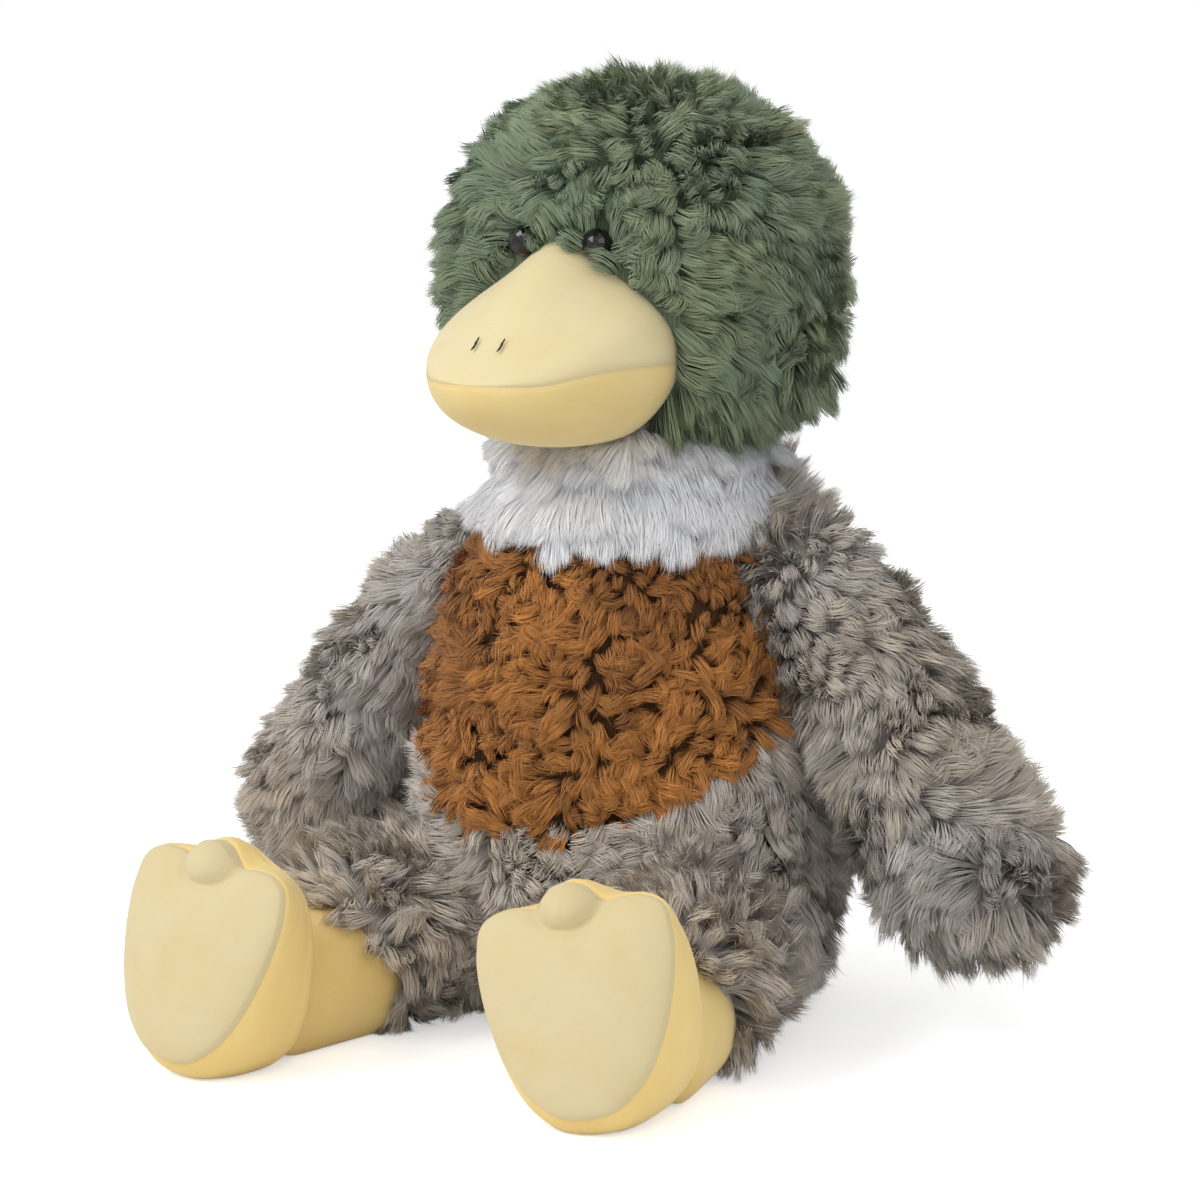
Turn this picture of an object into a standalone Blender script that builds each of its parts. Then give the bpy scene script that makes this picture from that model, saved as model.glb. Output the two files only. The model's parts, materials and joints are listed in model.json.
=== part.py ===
"""Plush duck that sits: fabric covers, stuffing, eyes and stitches, each a separate solid.

Metres, +Z up. The duck faces -Y, its left side is at +X, and the origin is on the ground under its seat.
A pile fabric's solid is its backing and its standing pile together.
"""
import math

import bmesh
import bpy
from mathutils import Matrix, Vector

# Clearances
SEAM_GAP = 0.0003
SOCKET_GAP = 0.001
NOD_GAP = 0.0025
OVERRUN = 0.004
WELD = 0.000005

# Fabric
BACKING = 0.002
HEAD_PILE = 0.012
BODY_PILE = 0.010
WING_PILE = 0.008
NAP_FABRIC = 0.0015

# Body, a pear that rests on its flat seat
BODY_HEIGHT = 0.166
BODY_RADIUS = 0.072
BODY_DEPTH_SHARE = 0.94
BODY_RADIUS_SHARES = [
    (0.0, 0.71), (0.03, 0.81), (0.08, 0.89), (0.16, 0.955), (0.30, 1.0), (0.48, 0.99),
    (0.66, 0.945), (0.80, 0.88), (0.90, 0.81), (0.96, 0.745), (1.0, 0.68),
]
STUFFING_GAP = 0.0011
PELLET_BAG_RADIUS = 0.032
PELLET_BAG_BACK = 0.012
PELLET_BAG_HEIGHT = 0.022
PELLET_BAG_SHARES = [
    (0.0, 0.0), (0.7, 0.0), (0.96, 0.22), (1.0, 0.5), (0.96, 0.78), (0.7, 1.0), (0.0, 1.0),
]

# Chest panel, a shield in front view
CHEST_HALF_WIDTH = 0.066
CHEST_BACK = 0.004
CHEST_DROP = 0.002
CHEST_BOTTOM = 0.060
CHEST_SHARES = [
    (0.80, 1.0), (0.92, 0.72), (1.0, 0.40), (0.86, 0.22), (0.56, 0.10), (0.28, 0.03),
]

# Head, a ball that sits on the neck, turned a little
HEAD_RISE = 0.084
HEAD_BACK = 0.009
HEAD_CENTRE = Vector((0, HEAD_BACK, BODY_HEIGHT + HEAD_RISE))
HEAD_WIDTH = 0.134
HEAD_DEPTH = 0.127
HEAD_HEIGHT = 0.120
HEAD_TURN_DEGREES = -3
HEAD_OPENING_DEGREES = 28
HEAD_NOD_DEGREES = 10

# Neck band between the body and the head
NECK_CENTRE_BACK = 0.002
NECK_BOTTOM_RADIUS = 0.048
NECK_TOP_RADIUS = 0.049
NECK_HEIGHT = 0.041
NECK_INNER_RADIUS = 0.031

# Beak, a pillow of two panels sewn together round their rim, in the head's frame
BEAK_HALF_WIDTH = 0.039
BEAK_MIDDLE = 0.047
BEAK_FRONT = 0.055
BEAK_BACK = 0.030
BEAK_SEAM_RISE = 0.026
BEAK_SEAM_DROP = HEAD_HEIGHT / 2 - BEAK_SEAM_RISE
BEAK_UPPER_HEIGHT = 0.032
BEAK_RIDGE_HEIGHT = 0.012
BEAK_RIDGE_WIDTH = 0.009
BEAK_LOWER_DEPTH = 0.024
BEAK_SLOPE_POWER = 1.15
BEAK_SIDE_POWER = 2.6
BEAK_BED_MARGIN = 0.0025
BEAK_RING_SHARES = (0, 0.18, 0.38, 0.6, 0.8)

# Nostrils, one straight stitch each
NOSTRIL_SPACING = 0.0098
NOSTRIL_FORWARD = 0.090
NOSTRIL_LENGTH = 0.005
THREAD_RADIUS = 0.0006

# Eyes, domes on shanks locked by washers
EYE_SPACING = 0.028
EYE_OVER_BEAK = 0.0095
EYE_RISE = BEAK_UPPER_HEIGHT - BEAK_SEAM_DROP + EYE_OVER_BEAK
EYE_RADIUS = 0.0052
EYE_DOME_HEIGHT = 0.0045
EYE_FLANGE = 0.001
SHANK_RADIUS = 0.0017
SHANK_LENGTH = 0.010
WASHER_RADIUS = 0.0055
WASHER_THICKNESS = 0.0012
WASHER_DROP = 0.0012
EYE_WELL_MARGIN = 0.002

# Wings, flattened sleeves that hang from the shoulders
SHOULDER_INSET = 0.005
SHOULDER_BACK = 0.004
SHOULDER_DROP = 0.021
SHOULDER = Vector((BODY_RADIUS - SHOULDER_INSET, SHOULDER_BACK, BODY_HEIGHT - SHOULDER_DROP))
WING_REACH = Vector((0.057, -0.002, -0.084))
SHOULDER_RADIUS = 0.0245
WING_HALF_WIDTH = 0.033
WING_HALF_THICKNESS = 0.027
WING_TIP_LENGTH = 0.033
WING_WAIST = 0.0005

# Legs, sleeves from the hips to the ankles
HIP = Vector((0.050, -0.047, 0.0315))
LEG_REACH = Vector((0.0105, -0.040, -0.001))
ANKLE = HIP + LEG_REACH
HIP_RADIUS = 0.0310
LEG_END_RADIUS = 0.0290
LEG_LIFT_DEGREES = 35

# Feet, three toed paddles that lean back over their heels, with an ankle tube behind
FOOT_WIDTH = 0.0737
FOOT_HEIGHT = 0.0716
FOOT_LEFT_PLACE = Vector((0.0710, -0.1500, 0))
FOOT_RIGHT_PLACE = Vector((0.0744, -0.1623, 0))
FOOT_LEFT_ROLL_DEGREES = 12
FOOT_RIGHT_ROLL_DEGREES = 4.5
FOOT_SPLAY_DEGREES = 7.6
FOOT_LEAN_DEGREES = 18
FOOT_SEAM_RISE = 0.0058
FOOT_BACK = 0.036
FOOT_REACH_SHARES = [
    (0, 1.03), (7, 1.00), (13, 0.94), (20, 0.895), (28, 0.965), (37, 1.06), (47, 1.10), (59, 1.012),
    (75, 0.893), (90, 0.825), (120, 0.81), (150, 0.918), (168, 0.985), (180, 0.99),
]
HEEL_REACH_SHARES = [
    (0, 0.91), (30, 0.89), (50, 0.90), (75, 0.87), (90, 0.86), (115, 0.92), (140, 1.04), (160, 1.08),
    (180, 1.04),
]
ANKLE_RADIUS = 0.0230
ANKLE_RISE = 0.0195
ANKLE_SEAT = 0.006
ANKLE_END = ANKLE + Vector((-0.001, ANKLE_SEAT, 0))
SOLE_BULGE = 0.009
TOE_BULGE = 0.007
TOE_BULGE_WIDTH_DEGREES = 17
TOE_BULGE_REACH_SHARE = 0.85
TOE_BULGE_SPREAD_SHARE = 0.13
UPPER_SECTION_SHARES = [
    (0, 0, 1, 0), (0.1, 0.62, 1.01, 0), (0.3, 1, 1.02, 0), (0.62, 1, 1.02, 0.02), (0.86, 1, 0.97, 0.07),
    (0.98, 1, 0.89, 0.28), (1.04, 1, 0.85, 0.62), (1.16, 1, 0.85, 0.9), (1.3, 1, 0.85, 1),
]
SOLE_RING_SHARES = (0, 0.20, 0.36, 0.52, 0.76)

# Facets
BODY_SEGMENTS = 28
HEAD_SEGMENTS = 24
HEAD_RINGS = 11
LIMB_SEGMENTS = 16
FOOT_SEGMENTS = 40
BEAK_SEGMENTS = 24
ROUND_SEGMENTS = 12

COLOURS = {
    "green_pile": (0.13, 0.18, 0.11),
    "grey_pile": (0.31, 0.27, 0.24),
    "brown_pile": (0.31, 0.12, 0.03),
    "white_pile": (0.75, 0.77, 0.80),
    "pale_nap": (0.84, 0.69, 0.36),
    "deep_nap": (0.76, 0.55, 0.22),
    "fibre": (0.80, 0.80, 0.78),
    "black_thread": (0.02, 0.018, 0.015),
    "black_plastic": (0.01, 0.009, 0.008),
    "washer_plastic": (0.60, 0.60, 0.58),
    "bag_cloth": (0.55, 0.52, 0.45),
}
SIDES = {"left": 1, "right": -1}


def clear_scene():
    for old in list(bpy.data.objects):
        bpy.data.objects.remove(old, do_unlink=True)


def material(name):
    found = bpy.data.materials.get(name)
    if found:
        return found
    made = bpy.data.materials.new(name)
    made.use_nodes = True
    surface = made.node_tree.nodes["Principled BSDF"]
    surface.inputs["Base Color"].default_value = (*COLOURS[name], 1)
    surface.inputs["Roughness"].default_value = 0.12 if name == "black_plastic" else 0.9
    surface.inputs["Metallic"].default_value = 0
    return made


def object_from(name, mesh_data, finish):
    """Closes a bmesh into a named object with one finish."""
    bmesh.ops.remove_doubles(mesh_data, verts=mesh_data.verts, dist=WELD)
    bmesh.ops.recalc_face_normals(mesh_data, faces=mesh_data.faces)
    mesh = bpy.data.meshes.new(name)
    mesh_data.to_mesh(mesh)
    mesh_data.free()
    mesh.shade_smooth()
    made = bpy.data.objects.new(name, mesh)
    bpy.context.scene.collection.objects.link(made)
    if finish:
        mesh.materials.append(material(finish))
    return made


def cutter(name, mesh_data):
    made = object_from(name, mesh_data, None)
    made.hide_render = True
    made.display_type = "WIRE"
    return made


def cut(target, tool, operation="DIFFERENCE"):
    step = target.modifiers.new(tool.name, "BOOLEAN")
    step.solver = "EXACT"
    step.operation = operation
    step.object = tool


def hang(name, place, pieces):
    """Parents pieces, where they are, to an empty on their joint's axis."""
    pivot = bpy.data.objects.new(name, None)
    pivot.empty_display_size = SHOULDER_RADIUS
    pivot.matrix_world = Matrix.Translation(place)
    bpy.context.scene.collection.objects.link(pivot)
    for piece in pieces:
        piece.parent = pivot
        piece.matrix_parent_inverse = pivot.matrix_world.inverted()


def bridge(mesh_data, first, second):
    """Joins two rings, either of which may be a single point."""
    count = max(len(first), len(second))
    for i in range(count):
        j = (i + 1) % count
        if len(first) == 1:
            mesh_data.faces.new((first[0], second[i], second[j]))
        elif len(second) == 1:
            mesh_data.faces.new((first[i], second[0], first[j]))
        else:
            mesh_data.faces.new((first[i], second[i], second[j], first[j]))


def rows_of(mesh_data, rings):
    return [[mesh_data.verts.new(point) for point in ring] for ring in rings]


def lofted(rings, closed=False):
    """Skins a row of rings; closed joins the last ring to the first, as a tube wall needs."""
    mesh_data = bmesh.new()
    rows = rows_of(mesh_data, rings)
    for first, second in zip(rows, rows[1:]):
        bridge(mesh_data, first, second)
    if closed:
        bridge(mesh_data, rows[-1], rows[0])
    return mesh_data


def walled(outer, inner):
    """A cup: the outer rings down to their pole, and the inner rings back to the rim."""
    mesh_data = bmesh.new()
    skins = [rows_of(mesh_data, rings) for rings in (outer, inner)]
    for rows in skins:
        for first, second in zip(rows, rows[1:]):
            bridge(mesh_data, first, second)
    bridge(mesh_data, skins[0][0], skins[1][0])
    return mesh_data


def placed(rings, matrix):
    return [[matrix @ point for point in ring] for ring in rings]


def read_shares(shares, at):
    """Reads a smooth curve through a table of (place, value) shares."""
    places = [place for place, _ in shares]
    values = [value for _, value in shares]
    for k in range(len(shares) - 1):
        if at <= places[k + 1]:
            break
    before, after = max(k - 1, 0), min(k + 2, len(shares) - 1)
    span = places[k + 1] - places[k]
    t = (at - places[k]) / span
    start = (values[k + 1] - values[before]) / (places[k + 1] - places[before]) * span
    end = (values[after] - values[k]) / (places[after] - places[k]) * span
    return (
        values[k] * (2 * t**3 - 3 * t**2 + 1) + start * (t**3 - 2 * t**2 + t)
        + values[k + 1] * (3 * t**2 - 2 * t**3) + end * (t**3 - t**2)
    )


def oval(half_x, half_y, z, segments):
    turns = [2 * math.pi * i / segments for i in range(segments)]
    return [Vector((half_x * math.cos(a), half_y * math.sin(a), z)) for a in turns]


# Body


def body_rings(inset, top, bottom):
    """The pear's rings from top down to the seat's middle, drawn in by inset."""
    rings = []
    for place, share in reversed(BODY_RADIUS_SHARES):
        z = min(max(place * BODY_HEIGHT, bottom), top)
        radius = read_shares(BODY_RADIUS_SHARES, z / BODY_HEIGHT) * BODY_RADIUS - inset
        rings.append(oval(radius, radius * BODY_DEPTH_SHARE, z, BODY_SEGMENTS))
        if z == bottom:
            break
    rings.append([Vector((0, 0, bottom))])
    return rings


def chest_prism(name, margin):
    """The shield's outline, pushed out over the front half of the body."""
    height = BODY_HEIGHT - CHEST_DROP - CHEST_BOTTOM
    right = [(x * CHEST_HALF_WIDTH + margin, CHEST_BOTTOM + z * height) for x, z in CHEST_SHARES]
    lowest = [(0, CHEST_BOTTOM - margin)]
    outline = right + lowest + [(-x, z) for x, z in reversed(right)]
    top = BODY_HEIGHT + OVERRUN
    outline = [(right[0][0], top)] + outline + [(-right[0][0], top)]
    ends = (-BODY_RADIUS - OVERRUN, margin - CHEST_BACK)
    rings = [[Vector((x, y, z)) for x, z in outline] for y in ends]
    mesh_data = bmesh.new()
    rows = rows_of(mesh_data, rings)
    bridge(mesh_data, rows[0], rows[1])
    for row in rows:
        mesh_data.faces.new(row)
    return cutter(name, mesh_data)


def make_body():
    wall = BACKING + BODY_PILE
    outer = body_rings(0, BODY_HEIGHT, 0)
    inner = body_rings(wall, BODY_HEIGHT, wall)
    cover = object_from("body_cover", walled(outer, inner), "grey_pile")
    panel = object_from("chest_panel", walled(outer, inner), "brown_pile")
    cut(cover, chest_prism("chest_window", SEAM_GAP / 2))
    cut(panel, chest_prism("chest_outline", -SEAM_GAP / 2), "INTERSECT")
    fill_inset = wall + STUFFING_GAP
    floor = wall + PELLET_BAG_HEIGHT + 2 * STUFFING_GAP
    top = BODY_HEIGHT - STUFFING_GAP
    rings = body_rings(fill_inset, top, floor)
    stuffing = object_from("body_stuffing", lofted([[Vector((0, 0, top))]] + rings), "fibre")
    profile = [(across * PELLET_BAG_RADIUS, up * PELLET_BAG_HEIGHT) for across, up in PELLET_BAG_SHARES]
    place = Matrix.Translation((0, PELLET_BAG_BACK, wall + STUFFING_GAP))
    object_from("pellet_bag", turned(profile, place, LIMB_SEGMENTS), "bag_cloth")
    return [cover, panel, stuffing]


# Head


def head_matrix():
    return Matrix.Translation(HEAD_CENTRE) @ Matrix.Rotation(math.radians(HEAD_TURN_DEGREES), 4, "Z")


def ball_rings(inset, start_degrees=0, segments=HEAD_SEGMENTS, count=HEAD_RINGS):
    """The head's rings from start_degrees above its lowest point to its top, drawn in by inset."""
    half = [HEAD_WIDTH / 2 - inset, HEAD_DEPTH / 2 - inset, HEAD_HEIGHT / 2 - inset]
    rings = []
    for k in range(count):
        angle = math.radians(start_degrees + (180 - start_degrees) * k / count)
        wide, deep, high = (half[0] * math.sin(angle), half[1] * math.sin(angle), -half[2] * math.cos(angle))
        rings.append(oval(wide, deep, high, segments) if angle else [Vector((0, 0, high))])
    rings.append([Vector((0, 0, half[2]))])
    return rings


def ball_cutter(name, inset, matrix):
    return cutter(name, lofted(placed(ball_rings(inset), matrix)))


def eye_matrix(side):
    """On the backing's face, with +Z out of the head."""
    half = [size / 2 - HEAD_PILE for size in (HEAD_WIDTH, HEAD_DEPTH, HEAD_HEIGHT)]
    x, z = side * EYE_SPACING / 2, EYE_RISE
    y = -half[1] * math.sqrt(1 - (x / half[0]) ** 2 - (z / half[2]) ** 2)
    outward = Vector((x / half[0] ** 2, y / half[1] ** 2, z / half[2] ** 2))
    turn = outward.to_track_quat("Z", "Y").to_matrix().to_4x4()
    return head_matrix() @ Matrix.Translation((x, y, z)) @ turn


def turned(profile, matrix, segments=ROUND_SEGMENTS):
    """A solid turned from (radius, height) points; a radius of zero is a pole."""
    rings = [oval(r, r, z, segments) if r else [Vector((0, 0, z))] for r, z in profile]
    return lofted(placed(rings, matrix))


def make_eye(side_name, side, head, stuffing):
    place = eye_matrix(side)
    low = SEAM_GAP
    profile = [(0, -SHANK_LENGTH), (SHANK_RADIUS, -SHANK_LENGTH), (SHANK_RADIUS, low), (EYE_RADIUS, low)]
    rim = low + EYE_FLANGE
    steps = 4
    for k in range(steps):
        angle = math.pi / 2 * k / steps
        profile.append((EYE_RADIUS * math.cos(angle), rim + EYE_DOME_HEIGHT * math.sin(angle)))
    profile.append((0, rim + EYE_DOME_HEIGHT))
    eye = object_from("eye_" + side_name, turned(profile, place), "black_plastic")
    bore = SHANK_RADIUS + SEAM_GAP
    washer_top = -BACKING - WASHER_DROP
    washer_low = washer_top - WASHER_THICKNESS
    square = [(bore, washer_low), (WASHER_RADIUS, washer_low)]
    square += [(WASHER_RADIUS, washer_top), (bore, washer_top)]
    rings = placed([oval(r, r, z, ROUND_SEGMENTS) for r, z in square], place)
    washer = object_from("eye_washer_" + side_name, lofted(rings, closed=True), "washer_plastic")
    well = EYE_RADIUS + EYE_WELL_MARGIN
    high = HEAD_PILE + OVERRUN
    deep = -BACKING - OVERRUN
    shape = [(0, deep), (bore, deep), (bore, 0), (well, 0), (well + EYE_WELL_MARGIN, high), (0, high)]
    cut(head, cutter("eye_well_" + side_name, turned(shape, place)))
    pocket = WASHER_RADIUS + STUFFING_GAP
    floor = washer_low - STUFFING_GAP
    end = -SHANK_LENGTH - STUFFING_GAP
    shape = [(0, end), (bore, end), (bore, floor), (pocket, floor), (pocket, OVERRUN), (0, OVERRUN)]
    cut(stuffing, cutter("washer_pocket_" + side_name, turned(shape, place)))
    return [eye, washer]


def beak_point(angle, across, rise, inset):
    """A point of the pillow: angle round its plan, across from its middle to its rim, rise up or down."""
    front = (BEAK_FRONT if math.sin(angle) < 0 else BEAK_BACK) - inset
    x = (BEAK_HALF_WIDTH - inset) * math.cos(angle) * across
    y = front * math.sin(angle) * across
    if rise < 0:
        dome = math.sqrt(max(1 - across**2, 0))
        return Vector((x, -BEAK_MIDDLE + y, -BEAK_SEAM_DROP - (BEAK_LOWER_DEPTH - inset) * dome))
    forward = abs(y) / front
    room = math.sqrt(max(1 - forward**2, 0)) * (BEAK_HALF_WIDTH - inset)
    sideways = min(abs(x) / room, 1) if room else 1
    slope = max(1 - forward**BEAK_SLOPE_POWER, 0) ** (1 / BEAK_SLOPE_POWER)
    dome = slope * max(1 - sideways**BEAK_SIDE_POWER, 0) ** (1 / BEAK_SIDE_POWER)
    ridge = BEAK_RIDGE_HEIGHT * math.exp(-((x / BEAK_RIDGE_WIDTH) ** 2)) * slope * min(dome * 2, 1)
    return Vector((x, -BEAK_MIDDLE + y, -BEAK_SEAM_DROP + (BEAK_UPPER_HEIGHT - inset) * dome + ridge))


def beak_rings(inset, rise, shift=0):
    """Rings from the rim to the pole of the upper (rise 1) or lower (rise -1) panel."""
    rings = []
    turns = [2 * math.pi * i / BEAK_SEGMENTS for i in range(BEAK_SEGMENTS)]
    for share in BEAK_RING_SHARES:
        across = math.cos(share * math.pi / 2)
        rings.append([beak_point(angle, across, rise, inset) for angle in turns])
    rings.append([beak_point(0, 0, rise, inset)])
    return [[point + Vector((0, 0, shift)) for point in ring] for ring in rings]


def beak_solid(name, inset, matrix, finish=None):
    rings = list(reversed(beak_rings(inset, 1))) + beak_rings(inset, -1)[1:]
    mesh_data = lofted(placed(rings, matrix))
    return object_from(name, mesh_data, finish) if finish else cutter(name, mesh_data)


def make_beak(head):
    place = head_matrix()
    pieces = []
    for name, rise, finish in (("beak_upper", 1, "pale_nap"), ("beak_lower", -1, "deep_nap")):
        shift = rise * SEAM_GAP / 2
        walls = [placed(beak_rings(inset, rise, shift), place) for inset in (0, NAP_FABRIC)]
        pieces.append(object_from(name, walled(*walls), finish))
    pieces.append(beak_solid("beak_stuffing", NAP_FABRIC + STUFFING_GAP, place, "fibre"))
    face = ball_cutter("beak_seat", HEAD_PILE - SEAM_GAP, place)
    for piece in pieces:
        cut(piece, face)
    bed = beak_solid("beak_bed", -BEAK_BED_MARGIN, place)
    cut(bed, ball_cutter("beak_bed_floor", HEAD_PILE, place))
    cut(head, bed)
    return pieces


def beak_top(x, forward):
    """The upper panel's surface at a place in plan."""
    across, along = x / BEAK_HALF_WIDTH, (BEAK_MIDDLE - forward) / BEAK_FRONT
    return beak_point(math.atan2(along, across), math.hypot(along, across), 1, 0)


def make_nostril(side_name, side):
    """A stitch that stands a seam gap over the upper panel and follows its slope."""
    x = side * NOSTRIL_SPACING / 2
    half = NOSTRIL_LENGTH / 2
    ends = [beak_top(x, NOSTRIL_FORWARD + step) for step in (-half, half)]
    along = (ends[1] - ends[0]).normalized()
    out = along.cross(Vector((1, 0, 0))).normalized()
    middle = (ends[0] + ends[1]) / 2 + out * (THREAD_RADIUS + 2 * SEAM_GAP)
    frame = Matrix((along.cross(out), out, along)).transposed().to_4x4()
    straight = half - THREAD_RADIUS
    profile = [(0, -half), (THREAD_RADIUS, -straight), (THREAD_RADIUS, straight), (0, half)]
    solid = turned(profile, head_matrix() @ Matrix.Translation(middle) @ frame, ROUND_SEGMENTS)
    return object_from("nostril_stitch_" + side_name, solid, "black_thread")


def make_head():
    place = head_matrix()
    wall = BACKING + HEAD_PILE
    outer = placed(ball_rings(0, HEAD_OPENING_DEGREES), place)
    inner = placed(ball_rings(wall, HEAD_OPENING_DEGREES), place)
    cover = object_from("head_cover", walled(outer, inner), "green_pile")
    rings = placed(ball_rings(wall + STUFFING_GAP, 0, LIMB_SEGMENTS, 8), place)
    stuffing = object_from("head_stuffing", lofted(rings), "fibre")
    pieces = [cover, stuffing] + make_beak(cover)
    for name, side in SIDES.items():
        pieces += make_eye(name, side, cover, stuffing)
        pieces.append(make_nostril(name, side))
    hang("head_nod", HEAD_CENTRE, pieces)


# Neck


def neck_rings(radius_low, radius_high, low, high):
    steps = 4
    rings = []
    for k in range(steps + 1):
        t = k / steps
        radius = radius_low + (radius_high - radius_low) * t
        rings.append(oval(radius, radius, low + (high - low) * t, HEAD_SEGMENTS))
    return rings


def make_neck():
    low, high = BODY_HEIGHT + SOCKET_GAP, BODY_HEIGHT + NECK_HEIGHT
    centre = Matrix.Translation((0, NECK_CENTRE_BACK, 0))
    outer = placed(neck_rings(NECK_BOTTOM_RADIUS, NECK_TOP_RADIUS, low, high), centre)
    inner = placed(neck_rings(NECK_INNER_RADIUS, NECK_INNER_RADIUS, low, high), centre)
    band = object_from("neck_band", lofted(outer + list(reversed(inner)), closed=True), "white_pile")
    core = NECK_INNER_RADIUS - STUFFING_GAP
    rings = placed(neck_rings(core, core, low, high), centre)
    ends = [[centre @ Vector((0, 0, z))] for z in (low, high)]
    stuffing = object_from("neck_stuffing", lofted([ends[0]] + rings + [ends[1]]), "fibre")
    seat = ball_cutter("head_seat", -NOD_GAP, head_matrix())
    room = beak_sweep()
    for piece in (band, stuffing):
        cut(piece, seat)
        cut(piece, room)
    hang("neck_turn", centre @ Vector((0, 0, BODY_HEIGHT)), [band, stuffing])


def beak_sweep():
    """Where the beak passes as the head nods, with a gap round it."""
    turns = [Matrix.Rotation(math.radians(nod), 4, "X") for nod in (0, HEAD_NOD_DEGREES)]
    back = Matrix.Translation(-HEAD_CENTRE) @ head_matrix()
    places = [Matrix.Translation(HEAD_CENTRE) @ turn @ back for turn in turns]
    rings = beak_rings(-SOCKET_GAP, 1) + beak_rings(-SOCKET_GAP, -1)
    return hull_cutter("nod_room", [placed(rings, place) for place in places])


def hull_cutter(name, ring_sets):
    mesh_data = bmesh.new()
    for rings in ring_sets:
        rows_of(mesh_data, rings)
    hull = bmesh.ops.convex_hull(mesh_data, input=mesh_data.verts)
    spare = set(hull["geom_interior"] + hull["geom_unused"])
    corners = [item for item in spare if isinstance(item, bmesh.types.BMVert)]
    bmesh.ops.delete(mesh_data, geom=corners, context="VERTS")
    return cutter(name, mesh_data)


# Wings and legs


def sleeve_frame(root, reach, side):
    """Where a sleeve starts on its side, which way it runs and how long it is."""
    start = Vector((side * root.x, root.y, root.z))
    along = Vector((side * reach.x, reach.y, reach.z))
    return start, along.normalized(), along.length


def sleeve_matrix(start, x_axis, z_axis):
    x_axis = (x_axis - z_axis * x_axis.dot(z_axis)).normalized()
    y_axis = z_axis.cross(x_axis)
    turn = Matrix((x_axis, y_axis, z_axis)).transposed().to_4x4()
    return Matrix.Translation(start) @ turn


def wing_rings(length, inset, opening=True, middle=4, cap=4):
    root, wide = SHOULDER_RADIUS - inset, WING_HALF_WIDTH - inset
    thick, tip = WING_HALF_THICKNESS - inset, WING_TIP_LENGTH - inset
    rings = []
    for k in range(1 if opening else 0, cap + 1):
        angle = math.pi / 2 * k / cap
        radius = root * math.sin(angle)
        ring = oval(radius, radius, -root * math.cos(angle), LIMB_SEGMENTS)
        rings.append(ring if k else [Vector((0, 0, -root))])
    for k in range(1, middle):
        t = k / middle
        ease = t * t * (3 - 2 * t)
        flat = root + (thick - root) * ease - WING_WAIST * math.sin(math.pi * t) ** 2
        rings.append(oval(root + (wide - root) * ease, flat, length * t, LIMB_SEGMENTS))
    for k in range(cap):
        angle = math.pi / 2 * k / cap
        share = math.cos(angle)
        rings.append(oval(wide * share, thick * share, length + tip * math.sin(angle), LIMB_SEGMENTS))
    rings.append([Vector((0, 0, length + tip))])
    return rings


def make_wing(side_name, side):
    start, z_axis, length = sleeve_frame(SHOULDER, WING_REACH, side)
    place = sleeve_matrix(start, Vector((0, 1, 0)), z_axis)
    wall = BACKING + WING_PILE
    skins = [placed(wing_rings(length, inset), place) for inset in (0, wall)]
    cover = object_from("wing_cover_" + side_name, walled(*skins), "grey_pile")
    rings = placed(wing_rings(length, wall + STUFFING_GAP, False, 3, 3), place)
    stuffing = object_from("wing_stuffing_" + side_name, lofted(rings), "fibre")
    hang("shoulder_" + side_name, start, [cover, stuffing])
    socket = ball_at("shoulder_socket_" + side_name, start, SHOULDER_RADIUS + SOCKET_GAP)
    spared = ball_at("shoulder_ball_" + side_name, start, SHOULDER_RADIUS + SOCKET_GAP / 2)
    rings = [[Vector((0, 0, BODY_HEIGHT))]] + body_rings(-SOCKET_GAP, BODY_HEIGHT, 0)
    flank = cutter("body_flank_" + side_name, lofted(rings))
    cut(flank, spared)
    cut(cover, flank)
    return socket


def ball_at(name, centre, radius):
    profile = [(0, -radius)]
    steps = BODY_SEGMENTS // 2
    for k in range(1, steps):
        angle = math.pi * k / steps
        profile.append((radius * math.sin(angle), -radius * math.cos(angle)))
    profile.append((0, radius))
    return cutter(name, turned(profile, Matrix.Translation(centre), BODY_SEGMENTS))


def leg_rings(length, root, end, overrun=0):
    """From the hip's pole along the leg to its ankle end."""
    rings = [[Vector((0, 0, -root))]]
    cap = 4
    for k in range(1, cap + 1):
        angle = math.pi / 2 * k / cap
        radius = root * math.sin(angle)
        rings.append(oval(radius, radius, -root * math.cos(angle), LIMB_SEGMENTS))
    middle = 3
    for k in range(1, middle + 1):
        t = k / middle
        radius = root + (end - root) * t
        rings.append(oval(radius, radius, (length + overrun) * t, LIMB_SEGMENTS))
    return rings


def foot_matrices(side):
    """The foot's upright frame on the floor, and the sole's seam in it, rolled and leaning back."""
    rest = FOOT_LEFT_PLACE if side > 0 else FOOT_RIGHT_PLACE
    degrees = FOOT_LEFT_ROLL_DEGREES if side > 0 else FOOT_RIGHT_ROLL_DEGREES
    splay = Matrix.Rotation(math.radians(side * FOOT_SPLAY_DEGREES), 4, "Z")
    lean = Matrix.Rotation(math.radians(-FOOT_LEAN_DEGREES), 4, "X")
    roll = Matrix.Rotation(math.radians(-side * degrees), 4, "Y")
    seam = Matrix.Translation((0, 0, FOOT_SEAM_RISE)) @ lean @ roll
    return Matrix.Translation((side * rest.x, rest.y, rest.z)) @ splay, seam


def foot_outline(inset, shares):
    """The paddle's outline in the XZ plane."""
    middle = FOOT_HEIGHT / 2
    points = []
    for i in range(FOOT_SEGMENTS):
        angle = 2 * math.pi * i / FOOT_SEGMENTS
        reach = read_shares(shares, from_top(angle))
        x = (FOOT_WIDTH / 2 - inset) * math.cos(angle) * reach
        points.append(Vector((x, 0, middle + (middle - inset) * math.sin(angle) * reach)))
    return points


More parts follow.
